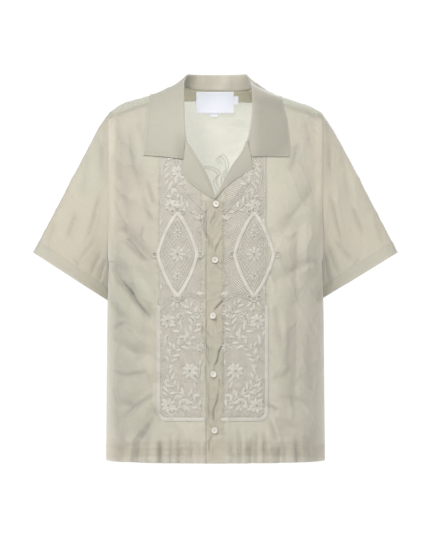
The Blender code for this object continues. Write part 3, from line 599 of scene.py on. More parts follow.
class Grid:
    """A sheet's points in columns and rows, its outward normals, and how far each is from its edges."""

    def __init__(self, columns, rows, place, closed=False):
        self.columns, self.rows, self.closed = columns, rows, closed
        self.points = [[place(column, row) for column in range(columns + 1)] for row in range(rows + 1)]
        if closed:
            for line in self.points:
                line[columns] = line[0].copy()
        self.normals = [[self.normal_at(column, row) for column in range(columns + 1)]
                        for row in range(rows + 1)]
        self.from_left = [[0.0] for _ in range(rows + 1)]
        for row, line in enumerate(self.points):
            for start, end in zip(line, line[1:]):
                self.from_left[row].append(self.from_left[row][-1] + (end - start).length)
        self.from_bottom = [[0.0] * (columns + 1)]
        for lower, upper in zip(self.points, self.points[1:]):
            steps = [(b - a).length for a, b in zip(lower, upper)]
            self.from_bottom.append([a + b for a, b in zip(self.from_bottom[-1], steps)])

    def normal_at(self, column, row):
        line = self.points[row]
        if self.closed:
            across = line[(column + 1) % self.columns] - line[(column - 1) % self.columns]
        else:
            across = line[min(column + 1, self.columns)] - line[max(column - 1, 0)]
        up = self.points[min(row + 1, self.rows)][column] - self.points[max(row - 1, 0)][column]
        return across.cross(up).normalized()

    def distance(self, edge, column, row):
        """How far along the sheet a point is from one of its four edges."""
        if edge == "left":
            return self.from_left[row][column]
        if edge == "right":
            return self.from_left[row][-1] - self.from_left[row][column]
        if edge == "bottom":
            return self.from_bottom[row][column]
        return self.from_bottom[-1][column] - self.from_bottom[row][column]

    def nearness(self, edges, column, row):
        """1 on the nearest of these edges, falling to 0 at the reach of a hem."""
        nearest = min((self.distance(edge, column, row) for edge in edges), default=1.0)
        return max(0.0, 1 - nearest / NEARNESS_REACH)

    def inset(self, edge, distance, lift, first=0.0, last=1.0):
        """A line at a distance from an edge, as points and normals, lifted off the sheet."""
        line = []
        along_rows = edge in ("left", "right")
        count = self.rows if along_rows else self.columns
        steps = self.columns if along_rows else self.rows
        for index in range(round(count * first), round(count * last) + 1):
            spots = [(column, index) if along_rows else (index, column) for column in range(steps + 1)]
            if edge in ("right", "top"):
                spots.reverse()
            for (c0, r0), (c1, r1) in zip(spots, spots[1:]):
                near, far = self.distance(edge, c0, r0), self.distance(edge, c1, r1)
                if far >= distance:
                    share = (distance - near) / max(far - near, 1e-9)
                    normal = self.normals[r0][c0].lerp(self.normals[r1][c1], share)
                    point = self.points[r0][c0].lerp(self.points[r1][c1], share)
                    line.append((point + normal * lift, normal))
                    break
        return line


def add_object(name, data):
    made = bpy.data.objects.new(name, data)
    bpy.context.scene.collection.objects.link(made)
    return made


def make_piece(name, points, faces, uvs, finish):
    """Adds a mesh piece with its own UV map."""
    mesh = bpy.data.meshes.new(name)
    mesh.from_pydata(points, [], faces)
    layer = mesh.uv_layers.new(name="cloth")
    for loop in mesh.loops:
        layer.data[loop.index].uv = uvs[loop.vertex_index]
    mesh.materials.append(finish)
    mesh.shade_smooth()
    return add_object(name, mesh)


def quads(first, columns, rows):
    """The faces of a grid whose corners are counted row by row from first."""
    wide = columns + 1
    corners = [first + row * wide + column for row in range(rows) for column in range(columns)]
    return [(corner, corner + 1, corner + wide + 1, corner + wide) for corner in corners]


def add_wall(piece, thickness, outward):
    """Gives a sheet its thickness, on its outward side (1) or its inward side (-1)."""
    solid = piece.modifiers.new("Wall", "SOLIDIFY")
    solid.thickness = thickness
    solid.offset = outward


def make_sheet(name, grid, finish, wall=CLOTH_WALL, seams=(), hems=(), measure_from="left", tone=None):
    """A sheet through a grid, with a wall on its outward side."""
    points, uvs = [], []
    values = {"seam_nearness": [], "hem_nearness": [], "tone": []}
    for row in range(grid.rows + 1):
        along = grid.from_left[row]
        origin = {"left": 0.0, "right": along[-1], "middle": along[grid.columns // 2]}[measure_from]
        for column in range(grid.columns + 1):
            point = grid.points[row][column]
            points.append(point)
            uvs.append((along[column] - origin, grid.from_bottom[row][column]))
            values["seam_nearness"].append(grid.nearness(seams, column, row))
            values["hem_nearness"].append(grid.nearness(hems, column, row))
            # tone is the point's painted light and shade, from the piece's own tone function
            values["tone"].append(tone(point, grid.normals[row][column]) if tone else 1.0)
    piece = make_piece(name, points, quads(0, grid.columns, grid.rows), uvs, finish)
    for label, entries in values.items():
        piece.data.attributes.new(label, "FLOAT", "POINT").data.foreach_set("value", entries)
    if grid.closed:
        piece.modifiers.new("Close", "WELD").merge_threshold = 0.00001
    add_wall(piece, wall, 1)
    bpy.context.view_layer.objects.active = piece
    for modifier in list(piece.modifiers):
        bpy.ops.object.modifier_apply(modifier=modifier.name)
    piece.data.set_sharp_from_angle(angle=math.radians(65))
    return piece


def edge_band(grid, edge, far, steps, first=0.0, last=1.0):
    """A strip turned in along an edge of a sheet, as a grid of its own on the sheet's inner side."""
    reach = [far * step / steps for step in range(steps + 1)]
    if edge in ("right", "top"):
        reach.reverse()
    lines = [[point for point, _ in grid.inset(edge, distance, -TURN_DEPTH, first, last)]
             for distance in reach]
    count = min(len(line) for line in lines) - 1
    if edge in ("bottom", "top"):
        return Grid(count, steps, lambda column, row: lines[row][column], closed=grid.closed)
    return Grid(steps, count, lambda column, row: lines[column][row])


def surface_of(piece):
    """The surface of a piece, for laying others on."""
    mesh = piece.data
    points = [vertex.co.copy() for vertex in mesh.vertices]
    return BVHTree.FromPolygons(points, [tuple(face.vertices) for face in mesh.polygons])


def face_at(surface, x, z, from_y=-1.0):
    """The point that a look straight back meets, and its normal, or None twice."""
    return surface.ray_cast(Vector((x, from_y, z)), Vector((0.0, 1.0, 0.0)))[:2]


def arc_share(x, half):
    return math.asin(min(1.0, (abs(x) / half) ** (ROUNDNESS / 2)))


def arc_x(angle, half):
    return half * math.sin(angle) ** (2 / ROUNDNESS)


def front_levels():
    """Levels of a front's rows from the hem up, in even steps of height."""
    seam = (SHOULDER_SEAM_LEVEL + SEAM_LEVEL_GAP) ** 2
    upper = [math.sqrt(seam + (1 - seam) * row / UPPER_ROWS) for row in range(UPPER_ROWS + 1)]
    lower = [1 + (row + 1) / LOWER_ROWS for row in range(LOWER_ROWS)]
    return (upper + lower)[::-1]


def front_grid(side):
    levels = front_levels()
    columns = FRONT_COLUMNS + PLACKET_COLUMNS

    def place(column, row):
        level = levels[row]
        step = column if side == RIGHT else columns - column
        half = half_width(level)
        inner = front_inner_edge(side, level)
        if step >= FRONT_COLUMNS:
            x = inner + PLACKET_REACH * (1 - (step - FRONT_COLUMNS) / PLACKET_COLUMNS)
        else:
            inner_angle = arc_share(inner + PLACKET_REACH, half)
            x = arc_x(math.pi / 2 + (inner_angle - math.pi / 2) * step / FRONT_COLUMNS, half)
        if step == 0 and level <= 1:
            x -= HALF_TRIM
        point = front_point(side, side * x, level, CLOTH_LIFT)
        if step == 0 and level >= 1:
            point.y -= HALF_TRIM
        return point

    return Grid(columns, len(levels) - 1, place)


def back_grid():
    """The back, over the shoulder line to the seam on the front. Its columns fan out round the neck."""
    neck_columns = BACK_HALF_COLUMNS - SHOULDER_COLUMNS - NECK_SIDE_COLUMNS
    seam_level = SHOULDER_SEAM_LEVEL - SEAM_LEVEL_GAP

    def top(side, step):
        neck = NECK_SIDE[side]
        if step <= SHOULDER_COLUMNS:
            share = step / SHOULDER_COLUMNS
            return Vector((SHOULDER_HALF_WIDTH + (neck - SHOULDER_HALF_WIDTH) * share, seam_level))
        step -= SHOULDER_COLUMNS
        if step <= NECK_SIDE_COLUMNS:
            return Vector((neck, seam_level * (1 - step / NECK_SIDE_COLUMNS)))
        angle = math.pi / 2 * (step - NECK_SIDE_COLUMNS) / neck_columns
        return Vector((neck * math.cos(angle), NECK_BACK_LEVEL * math.sin(angle)))

    def place(column, row):
        side = LEFT if column <= BACK_HALF_COLUMNS else RIGHT
        step = column if side == LEFT else 2 * BACK_HALF_COLUMNS - column
        angle = math.pi / 2 * (1 - step / BACK_HALF_COLUMNS)
        if row > BACK_LOWER_ROWS + BACK_MIDDLE_ROWS:
            share = (row - BACK_LOWER_ROWS - BACK_MIDDLE_ROWS) / BACK_FAN_ROWS
            start = Vector((arc_x(angle, SHOULDER_HALF_WIDTH), BACK_FAN_LEVEL))
            x, level = start.lerp(top(side, step), share)
        else:
            if row > BACK_LOWER_ROWS:
                level = -1 + (row - BACK_LOWER_ROWS) / BACK_MIDDLE_ROWS * (1 + BACK_FAN_LEVEL)
            else:
                level = -2 + row / BACK_LOWER_ROWS
            x = arc_x(angle, half_width(level))
        if step == 0 and level >= -1:
            x -= HALF_TRIM
        point = cloth_point(side * x, level, CLOTH_LIFT)
        if step == 0 and level <= -1:
            point.y += HALF_TRIM
        return point

    return Grid(2 * BACK_HALF_COLUMNS, BACK_LOWER_ROWS + BACK_MIDDLE_ROWS + BACK_FAN_ROWS, place)


def clear_of_body(point):
    """Moves a point of a sleeve out of the body, below the underarm and beside the armhole."""
    level = level_at(0.0, point.z)
    wide = half_width(level) + SLEEVE_CLEARANCE
    deep = body_depth(level if point.y < 0 else -level) + SLEEVE_CLEARANCE
    reach = (abs(point.x) / wide) ** ROUNDNESS + (abs(point.y) / deep) ** ROUNDNESS
    if point.z < UNDERARM_Z + 0.004 and reach < 1:
        scale = reach ** (-1 / ROUNDNESS)
        point.x *= scale
        point.y *= scale
    point.x = max(point.x, SLEEVE_START_X) if point.z > UNDERARM_Z else point.x
    return point


def sleeve_grid(side):
    """A tube from the armhole to the cuff. Its columns start at the underarm seam."""
    top = shoulder_height(side * SHOULDER_HALF_WIDTH)
    middle = (top + UNDERARM_Z) / 2
    half = (top - UNDERARM_Z) / 2
    centre = (CUFF_TIP + CUFF_INNER[side]) / 2
    major = (CUFF_TIP - CUFF_INNER[side]) / 2

    def place(column, row):
        row = row if side == LEFT else SLEEVE_ROWS - row
        share = (row / SLEEVE_ROWS) ** 1.15
        angle = 2 * math.pi * column / SLEEVE_SIDES + math.pi
        bottom = (1 - math.cos(angle)) / 2
        near_seam = smooth(bottom * 3 - 2)
        ring = Vector((SLEEVE_START_X + 0.0014 * bottom**2, ARMHOLE_HALF_DEPTH * math.sin(angle),
                       middle + half * math.cos(angle)))
        cuff = centre + major * math.cos(angle) + Vector((0, CUFF_HALF_DEPTH * math.sin(angle), 0))
        point = ring.lerp(cuff, share)
        bulge = share / CAP_SHARE * math.exp(1 - share / CAP_SHARE)
        point.x += bulge * CAP_RISE * (1 - bottom) ** 0.5
        ripple = SLEEVE_RIPPLE * smooth(share * 2) * math.cos(5 * angle + 2.2 * share + 0.6)
        point += (cuff - centre).normalized() * ripple * (1 - near_seam)
        outward = Vector((0.3, math.sin(angle), 0.4 * math.cos(angle))).normalized()
        fine = crease_at("sleeve", side * point.x, point.z)[0]
        uneven = SLEEVE_CRUMPLE * crumple(Vector((side * point.x, point.y, point.z)))
        point += outward * (fine + uneven) * (smooth(share / 0.12) * (1 - 0.7 * near_seam))
        if row > 0:
            point = clear_of_body(point)
        point.x *= side
        return point

    return Grid(SLEEVE_SIDES, SLEEVE_ROWS, place, closed=True)


# Collar and lapels


def off_zero(level):
    """Keeps a level off the shoulder line, where the front and the back meet."""
    return level if abs(level) > 0.001 else 0.001


def round_back(width, back_level, share):
    """A place on an oval round the back of the neck, x and level, from its middle (0) to its side (0.5)."""
    angle = math.pi * (0.5 - share)
    return Vector((width * math.cos(angle), back_level * math.sin(angle)))


def neck_seam(side, share):
    """A point of the neck seam, x and level, for a share from the back's middle (0) to the gorge (1)."""
    if share <= 0.5:
        return round_back(NECK_SIDE[side], NECK_BACK_LEVEL, share)
    level = (share - 0.5) * 2 * GORGE_LEVEL
    x = NECK_SIDE[side] if level <= SHOULDER_SEAM_LEVEL else front_inner_edge(side, level)
    return Vector((x, level))


def collar_fold(side, share):
    """The foot of the fold on the body, x and level, and the fold's own place."""
    if share <= 0.5:
        angle = math.pi * (0.5 - share)
        wide = FOLD_X[side][0][1]
        foot = round_back(wide, COLLAR_FOOT_LEVEL, share)
        side_z = shoulder_height(side * wide) + FOLD_LIFT_SIDE
        z = side_z + (COLLAR_BACK_Z - side_z) * smooth(math.sin(angle) / 0.5)
        return foot, Vector((side * foot.x, COLLAR_BACK_Y * math.sin(angle), z))
    reach = (share - 0.5) * 2
    level = reach * GORGE_LEVEL
    foot = Vector((read_table(FOLD_X[side], level), level))
    lift = FOLD_LIFT_SIDE + (FOLD_LIFT_GORGE - FOLD_LIFT_SIDE) * smooth(reach)
    return foot, cloth_point(side * foot.x, off_zero(level), lift)


def leaf_edge(side, share):
    if share <= 0.5:
        return round_back(LEAF_X[side][0][1], COLLAR_EDGE_LEVEL, share)
    level = (share - 0.5) * 2 * LEAF_END_LEVEL
    return Vector((read_table(LEAF_X[side], level), level))


def leaf_point(side, share, out):
    """A point of the collar's leaf, from the fold (out 0) to its edge (out 1)."""
    foot, fold = collar_fold(side, share)
    spot = foot.lerp(leaf_edge(side, share), out)
    near_gorge = max(0.0, (share - 0.82) / 0.18) ** 1.5
    if near_gorge > 0:
        gorge = collar_fold(side, 1.0)[0]
        notch = Vector(NOTCH[side])
        tip = leaf_edge(side, 1.0)
        if out <= NOTCH_SHARE:
            bent = gorge.lerp(notch, out / NOTCH_SHARE)
        else:
            bent = notch.lerp(tip, (out - NOTCH_SHARE) / (1 - NOTCH_SHARE))
        spot += (bent - gorge.lerp(tip, out)) * near_gorge
    lift = LEAF_LIFT - 0.0004 * smooth(1 - abs(spot.y) / 0.4)
    lift += 0.0010 * ramp(share, 0.86, 0.14) * smooth(out * 2)
    base = cloth_point(side * foot.x, off_zero(foot.y), lift)
    rest = cloth_point(side * spot.x, off_zero(spot.y), lift)
    return rest + (fold - base) * (1 - out) ** 1.5


def collar_grid():
    half_columns, stand_rows, turn_rows, leaf_rows = 66, 5, 4, 26

    def place(column, row):
        side = RIGHT if column < half_columns else LEFT
        share = abs(column - half_columns) / half_columns
        seam = neck_seam(side, share)
        inset = 0.001 * smooth((share - 0.5) * 4)
        start = cloth_point(side * (seam.x - inset), off_zero(seam.y), SEAM_RISE)
        fold = collar_fold(side, share)[1]
        edge = leaf_point(side, share, 1.0)
        outward = Vector((edge.x - fold.x, edge.y - fold.y, 0)).normalized()
        inner = fold + (start - fold) * 0.12 - outward * 0.0011
        if row <= stand_rows:
            return start.lerp(inner, row / stand_rows)
        if row <= stand_rows + turn_rows:
            turn = [start.lerp(inner, 0.8), inner, fold, leaf_point(side, share, TURN_END)]
            return spline_point(turn, (1 + (row - stand_rows) / turn_rows * 2) / 3)
        out = TURN_END + (1 - TURN_END) * (row - stand_rows - turn_rows) / leaf_rows
        return leaf_point(side, share, out)

    return Grid(2 * half_columns, stand_rows + turn_rows + leaf_rows, place)


def lapel_grid(side):
    """The front's facing, turned out over the front's inner edge above the top button."""
    turn_rows, out_rows, columns = 10, 18, 54
    last = len(LAPEL_LEVELS) - 1
    level_rows = list(enumerate(LAPEL_LEVELS))

    def edge_at(station, axis):
        rows = [(number, spot[axis]) for number, spot in enumerate(LAPEL_EDGE[side])]
        return read_table(rows[:2] if station <= 1 else rows[1:], station)

    def roll_x(station, level):
        return front_inner_edge(side, level) - GORGE_GAP * max(0.0, 1 - station)

    def station_point(station, level, index):
        distance, lift = LAPEL_TURN[index]
        if lift > 0:
            distance = min(distance, max(0.0, station - 0.4) * 0.0025)
        start = front_point(side, side * roll_x(station, level), level, 0.0)
        normal = body_normal(side * roll_x(station, level), level)
        below = level + 0.01
        roll = front_point(side, side * front_inner_edge(side, below), below) - start
        outward = normal.cross(roll).normalized() * side
        return start + outward * distance + normal * lift

    def place(column, row):
        station = last * (1 - column / columns) if side == RIGHT else last * column / columns
        level = read_table(level_rows, station)
        if row <= turn_rows:
            points = [station_point(station, level, index) for index in range(len(LAPEL_TURN))]
            return spline_point(points, row / turn_rows)
        out = (row - turn_rows) / out_rows
        edge_x, edge_z = edge_at(station, 0), edge_at(station, 1)
        edge = Vector((edge_x, level_at(side * edge_x, edge_z)))
        spot = Vector((roll_x(station, level), level)).lerp(edge, out)
        flat = front_point(side, side * spot.x, spot.y, LAPEL_LIFT + 0.0005 * math.sin(math.pi * out))
        near_roll = max(0.0, 1 - out / 0.35) ** 2
        return flat.lerp(station_point(station, level, len(LAPEL_TURN) - 1), near_roll)

    return Grid(columns, turn_rows + out_rows, place)


def inside_patch(ends, heights, lift, columns, rows):
    """A flat piece on the inner side of the back, between two x and two heights.

    With one height in place of two, it hangs that far down from the neck seam.
    """

    def place(column, row):
        x = ends[0] + (ends[1] - ends[0]) * column / columns
        if len(heights) == 1:
            neck = NECK_SIDE[LEFT if x > 0 else RIGHT]
            seam_level = NECK_BACK_LEVEL * math.sqrt(1 - (x / neck) ** 2) - 0.012
            z = height_at(x, seam_level) - heights[0] * (1 - row / rows)
        else:
            z = heights[0] + (heights[1] - heights[0]) * row / rows
        return cloth_point(x, -level_at(x, z), lift)

    return Grid(columns, rows, place)


# Tone of the cloth from place to place, which paints light and shade onto it: 1 is plain, and more is
# lighter


def flute_tone(x, z):
    """How dark the painted shade of the hem's flutes is at a place, taken from the darkest of them."""
    darkest = 0.0
    for x0, z0, x1, z1, x2, z2, half, depth in HEM_FLUTES:
        for start, end, upper in (((x0, z0), (x1, z1), True), ((x1, z1), (x2, z2), False)):
            share, off_x, off_z = beside_run(x, z, start, end)
            wide = half * 0.001 * (0.45 + 0.55 * (share if upper else 1.0))
            band = 1 - ramp(math.hypot(off_x, off_z), 0.62 * wide, 0.7 * wide)
            grown = smooth(share / 0.5) if upper else 1.0
            darkest = max(darkest, depth * band * grown)
    return darkest


def soft_bands(x, z):
    """The sum of the front's soft bands of painted light and shade at a place."""
    value = 0.0
    for *ends, half, change in FRONT_SHADES:
        _, off_x, off_z = beside_run(x, z, ends[:2], ends[2:])
        value += change * math.exp(-((math.hypot(off_x, off_z) / half * 1000) ** 2))
    return value


# Painted light and shade on a front: lighter at its sides, soft bands and broad changes, painted shade in
# its creases, in the hem's flutes and where it faces up, and a painted shadow beside the left front's edge
def front_tone(side):
    def tone(point, normal):
        x, z = point.x, point.z
        aside = (RIGHT_SIDE_LIGHT if x < 0 else LEFT_SIDE_LIGHT) * ramp(abs(x), 0.180, 0.022)
        value = 1 + aside + soft_bands(x, z) - CREASE_SHADE * crease_at("front", x, z)[1] - flute_tone(x, z)
        for x_start, x_span, z_start, z_span, change in FRONT_BROAD_TONES:
            value += change * ramp(x, x_start, x_span) * ramp(z, z_start, z_span)
        value -= UPWARD_SHADE * smooth(normal.z / 0.7)
        if z < PLACKET_TOP_Z:
            if side == RIGHT:
                edge_x = -0.0172 - 0.0012 * noise.noise(Vector((0.0, 4.0, z * 34)))
                value -= PLACKET_SHADE * math.exp(-(((x - edge_x) / 0.0019) ** 2))
            else:
                value += PLACKET_LIGHT * ramp(x, 0.019, -0.008)
        return value
    return tone


# Painted shade on the back: darker where it comes over the shoulders to the front, darker at its sides
# below the shoulders, and darker in its creases
def back_tone(point, normal):
    yoke_shade = ramp(point.y, 0.05, -0.035) * ramp(point.z, -0.20, 0.06)
    aside = ramp(abs(point.x), 0.085, 0.09) * ramp(point.z, -0.10, -0.06)
    return 1 - 0.31 * yoke_shade - 0.20 * aside - 0.12 * crease_at("back", point.x, point.z)[1]


# Painted light and shade on a sleeve: the left sleeve a little darker overall, lighter high up and along
# its top fold, and painted shade in its creases and beside the armhole
def sleeve_tone(side):
    plain, lighter_above = {RIGHT: (1.0, 0.05), LEFT: (0.97, 0.09)}[side]

    def tone(point, normal):
        reach, z = abs(point.x), point.z
        fold = ramp(abs(normal.y), 0.55, -0.5) * smooth(normal.z / 0.3)
        beside_armhole = ramp(reach, 0.221, -0.014) * ramp(z, -0.21, 0.04)
        shade = 0.28 * crease_at("sleeve", point.x, z)[1] + 0.10 * beside_armhole
        high = ramp(z, -0.22, 0.05) * ramp(reach, 0.215, 0.02)
        return plain + lighter_above * high + 0.19 * fold - shade
    return tone


def collar_tone(point, normal):
    """The leaves lie in painted shade: one along its fold, and the other over its whole middle. Where the
    collar stands at the back of the neck it is painted lighter, with streaks of random tone.
    """
    x, z = point.x, point.z
    if point.y > 0.02:
        streaks = 0.20 * noise.noise(Vector((x * 48, 3.0, z * 26)))
        return 1.08 + streaks + 0.07 * noise.noise(Vector((x * 150, 9.0, z * 60)))
    if x > 0:
        middle = ramp(x, 0.068, 0.016) * (1 - ramp(x, 0.118 + 0.9 * (z + 0.125), 0.03))
        return 1 - 0.14 * middle * ramp(z, -0.02, -0.02)
    return 1 - 0.20 * ramp(x, -0.083, 0.022) * ramp(z, -0.085, -0.05) * (x < -0.05)


# Threads, cords and satin stitches


class Work:
    """Collects the points and faces of many small stitches that become one piece."""

    def __init__(self):
        self.points, self.faces, self.uvs = [], [], []

    def tube(self, line, radius, sides=4, closed=False, taper=0.0):
        """A slightly flat thread along points with normals. Taper narrows its two ends."""
        count = len(line)
        if count < 2:
            return
        first = len(self.points)
        walked = 0.0
        for index, (point, normal) in enumerate(line):
            before = line[index - 1 if index or closed else 0][0]
            after = line[(index + 1) % count if closed else min(index + 1, count - 1)][0]
            if index:
                walked += (point - line[index - 1][0]).length
            tangent = (after - before).normalized()
            across = tangent.cross(normal).normalized()
            up = across.cross(tangent)
            share = index / (count - 1)
            size = radius * (1 - taper * (1 - smooth(min(share, 1 - share) * 4)))
            for turn in range(sides):
                angle = 2 * math.pi * (turn + 0.5) / sides
                rise = up * math.sin(angle) * size * THREAD_FLATNESS
                self.points.append(point + across * math.cos(angle) * size + rise)
                self.uvs.append((walked, turn / sides * radius * 6))
        for index in range(count if closed else count - 1):
            here = first + index * sides
            ahead = first + (index + 1) % count * sides
            for turn in range(sides):
                beside = (turn + 1) % sides
                self.faces.append((here + turn, here + beside, ahead + beside, ahead + turn))
        if not closed:
            self.faces.append(tuple(first + turn for turn in reversed(range(sides))))
            self.faces.append(tuple(first + (count - 1) * sides + turn for turn in range(sides)))

    def stitches(self, line):
        """Running stitches along a line of points and normals, with a gap after each."""
        walked, wanted = 0.0, 0.0
        spots = []
        for (start, normal), (end, _) in zip(line, line[1:]):
            run = (end - start).length
            while wanted <= walked + run:
                spot = start.lerp(end, (wanted - walked) / max(run, 1e-9))
                spots.append((spot, normal, (end - start).normalized()))
                wanted += STITCH_STEP
            walked += run
        for spot, normal, ahead in spots:
            stitch = [(spot + ahead * STITCH_LENGTH * share, normal) for share in (-0.5, -0.25, 0.25, 0.5)]
            self.tube(stitch, STITCH_RADIUS, taper=0.7)

    def knot(self, centre, normal, radius):
        """A small round knot of thread."""
        across = normal.orthogonal().normalized()
        up = normal.cross(across)
        first = len(self.points)
        for ring_height, ring_size in ((-0.2, 0.9), (0.35, 1.0), (0.8, 0.62)):
            for turn in range(6):
                angle = 2 * math.pi * turn / 6
                offset = across * math.cos(angle) + up * math.sin(angle)
                self.points.append(centre + offset * radius * ring_size + normal * radius * ring_height)
                self.uvs.append((radius * turn, radius * ring_height))
        for ring in range(2):
            for turn in range(6):
                beside = (turn + 1) % 6
                low, high = first + ring * 6, first + (ring + 1) * 6
                self.faces.append((low + turn, low + beside, high + beside, high + turn))
        self.faces.append(tuple(first + 12 + turn for turn in range(6)))
        self.faces.append(tuple(first + turn for turn in reversed(range(6))))

    def piece(self, name, finish):
        return make_piece(name, self.points, self.faces, self.uvs, finish)


class Ground:
    """A front's outer face, seen from straight ahead, that stitches are laid on."""

    def __init__(self, side, surface):
        self.side, self.surface = side, surface

    def spot(self, x, z, lift=0.0):
        """The point with the normal at a distance from the middle and a height, or None past the cloth."""
        point, normal = face_at(self.surface, self.side * x, z)
        return None if point is None else (point + normal * lift, normal)

    def cord(self, work, spots, lift, radius, sides=4, closed=False, taper=0.0):
        """Lays a cord along spots, leaving out the ones past the cloth."""
        found = [self.spot(x, z, lift) for x, z in spots]
        work.tube([entry for entry in found if entry], radius, sides, closed, taper)

    def knot(self, work, x, z, lift, radius):
        found = self.spot(x, z, lift)
        if found:
            work.knot(*found, radius)

    def share_x(self, share):
        """The distance from the middle for a share of the panel's width."""
        inner, outer = PANEL_INNER_X[self.side], PANEL_OUTER_X[self.side]
        return inner + (outer - inner) * share


def curve_spots(points, spacing=0.0024):
    """Spots at even spacing on a smooth curve through points."""
    spots = [Vector(point) for point in points]
    fine = [spline_point(spots, index / 200) for index in range(201)]
    length = sum((b - a).length for a, b in zip(fine, fine[1:]))
    count = max(3, round(length / spacing))
    made, walked, index = [fine[0]], 0.0, 0
    for number in range(1, count):
        wanted = length * number / count
        while walked + (fine[index + 1] - fine[index]).length < wanted:
            walked += (fine[index + 1] - fine[index]).length
            index += 1
        run = (fine[index + 1] - fine[index]).length
        made.append(fine[index].lerp(fine[index + 1], (wanted - walked) / run))
    return made + [fine[-1]]


def satin_leaf(work, ground, root, angle, length, width, height=0.0010):
    """A leaf or petal of satin stitch, raised to a crown on each side of its vein."""
    rows, half_columns = 7, 2
    ahead = heading(angle)
    beside = Vector((-ahead.y, ahead.x))
    first = len(work.points)
    for row in range(rows + 1):
        share = row / rows
        swell = share / LEAF_WIDEST if share < LEAF_WIDEST else (1 - share) / (1 - LEAF_WIDEST)
        half = max(LEAF_TIP_HALF, width / 2 * math.sin(math.pi / 2 * swell) ** 0.85)
        for column in range(2 * half_columns + 1):
            offset = (column - half_columns) / half_columns
            flat = Vector(root) + ahead * length * share + beside * half * offset
            crown = (1 - offset * offset) * 0.72 + (0.28 if abs(offset) == 0.5 else 0.0)
            lift = 0.00004 + height * crown * math.sin(math.pi * (0.08 + 0.84 * share))
            found = ground.spot(flat.x, flat.y, lift)
            if found is None:
                return
            work.points.append(found[0])
            work.uvs.append((length * share, half * offset))
    for face in quads(first, 2 * half_columns, rows):
        work.faces.append(face if ground.side == LEFT else face[::-1])


def blossom(leaves, knots, ground, centre, radius, petals, turn=0.0, inner=True):
    """A sampaguita blossom: a ring of pointed petals, a smaller ring inside it, and knots in the middle."""
    rings = ((petals, 0.0, 0.22, 0.78, 0.52, 0.0011), (petals - 1, 0.5, 0.08, 0.42, 0.3, 0.0015))
    for count, lead, from_middle, length, width, height in rings[:2 if inner else 1]:
        for number in range(count):
            angle = turn + lead + math.tau * number / count
            root = Vector(centre) + heading(angle) * radius * from_middle
            satin_leaf(leaves, ground, root, angle, radius * length, radius * width, height)
    for number in range(4):
        angle = turn + math.pi / 2 * number
        reach = radius * 0.1 if number else 0.0
        x, z = centre[0] + math.cos(angle) * reach, centre[1] + math.sin(angle) * reach
        ground.knot(knots, x, z, 0.0014, 0.0007)


# Materials


class Nodes:
    """A shader tree, to which nodes are added with their inputs and settings."""

    def __init__(self, tree):
        self.tree = tree

    def feed(self, sockets, values):
        """Gives sockets a link or a value."""
        for key, value in values.items():
            if isinstance(value, bpy.types.NodeSocket):
                self.tree.links.new(value, sockets[key])
            else:
                colour = sockets[key].type == "RGBA"
                sockets[key].default_value = (*value, 1.0) if colour else value

    def add(self, kind, inputs=None, output=0, **settings):
        """Adds a node and gives back one of its outputs."""
        made = self.tree.nodes.new("ShaderNode" + kind)
        for key, value in settings.items():
            setattr(made, key, value)
        self.feed(made.inputs, inputs or {})
        return made.outputs[output]

    def math(self, operation, *values):
        return self.add("Math", dict(enumerate(values)), operation=operation)

    def mix(self, factor, first, second, blend="MIX"):
        inputs = {0: factor, 6: first, 7: second}
        return self.add("Mix", inputs, 2, data_type="RGBA", blend_type=blend)

    def grey(self, value):
        return self.add("CombineColor", {0: value, 1: value, 2: value})

    def noise(self, spot, scale, detail, **more):
        return self.add("TexNoise", {"Vector": spot, "Scale": scale, "Detail": detail, **more})

    def spread(self, value, low, high):
        """0 at the low value and 1 at the high one."""
        return self.add("MapRange", {"Value": value, "From Min": low, "From Max": high})

    def bump(self, height, strength, distance, invert=False, **below):
        inputs = {"Height": height, "Strength": strength, "Distance": distance, **below}
        return self.add("Bump", inputs, invert=invert)

    def attribute(self, name):
        return self.add("Attribute", output="Fac", attribute_name=name)

    def place(self, group, output, **inputs):
        """Places a node group and gives back one of its outputs, or all of them for None."""
        made = self.add("Group", inputs, output or 0, node_tree=group)
        return made if output else made.node.outputs

    def spot(self):
        return self.add("TexCoord", output="Object")

    def flat(self):
        return self.add("UVMap", uv_map="cloth")


def new_group(name, inputs, outputs):
    """Starts a shader node group whose inputs are a vector and named numbers."""
    group = bpy.data.node_groups.new(name, "ShaderNodeTree")
    for label, value in inputs.items():
        kind = "NodeSocketVector" if value is None else "NodeSocketFloat"
        socket = group.interface.new_socket(label, in_out="INPUT", socket_type=kind)
        if value is not None:
            socket.default_value = value
    for label in outputs:
        group.interface.new_socket(label, in_out="OUTPUT", socket_type="NodeSocketFloat")
    given, result = group.nodes.new("NodeGroupInput").outputs, group.nodes.new("NodeGroupOutput").inputs
    return group, Nodes(group), given, result


def weave_group():
    """Plain weave with slubs: threads of a given pitch, some of them thicker along their run."""
    group, nodes, given, result = new_group(
        "plain_weave", {"Vector": None, "Pitch": 0.0005, "Slub": 0.3}, ("Height", "Shade"))
    parts = nodes.add("SeparateXYZ", {0: given["Vector"]}).node.outputs
    waves = [nodes.math("SINE", nodes.math("DIVIDE", nodes.math("MULTIPLY", parts[axis], math.tau),
                                           given["Pitch"])) for axis in (0, 1)]
    height = nodes.math("MULTIPLY_ADD", nodes.math("MULTIPLY", *waves), 0.5, 0.5)
    slubs = []
    for scale in ((1400.0, 26.0, 1.0), (26.0, 1400.0, 1.0)):
        stretched = nodes.add("VectorMath", {0: given["Vector"], 1: scale}, operation="MULTIPLY")
        slubs.append(nodes.noise(stretched, 1.0, 2.0))
    both = nodes.math("SUBTRACT", nodes.math("ADD", *slubs), 1.0)
    nodes.feed(result, {
        "Height": nodes.math("ADD", height, nodes.math("MULTIPLY", both, 0.6)),
        "Shade": nodes.math("ADD", nodes.math("MULTIPLY", both, given["Slub"]), 0.5),
    })
    return group


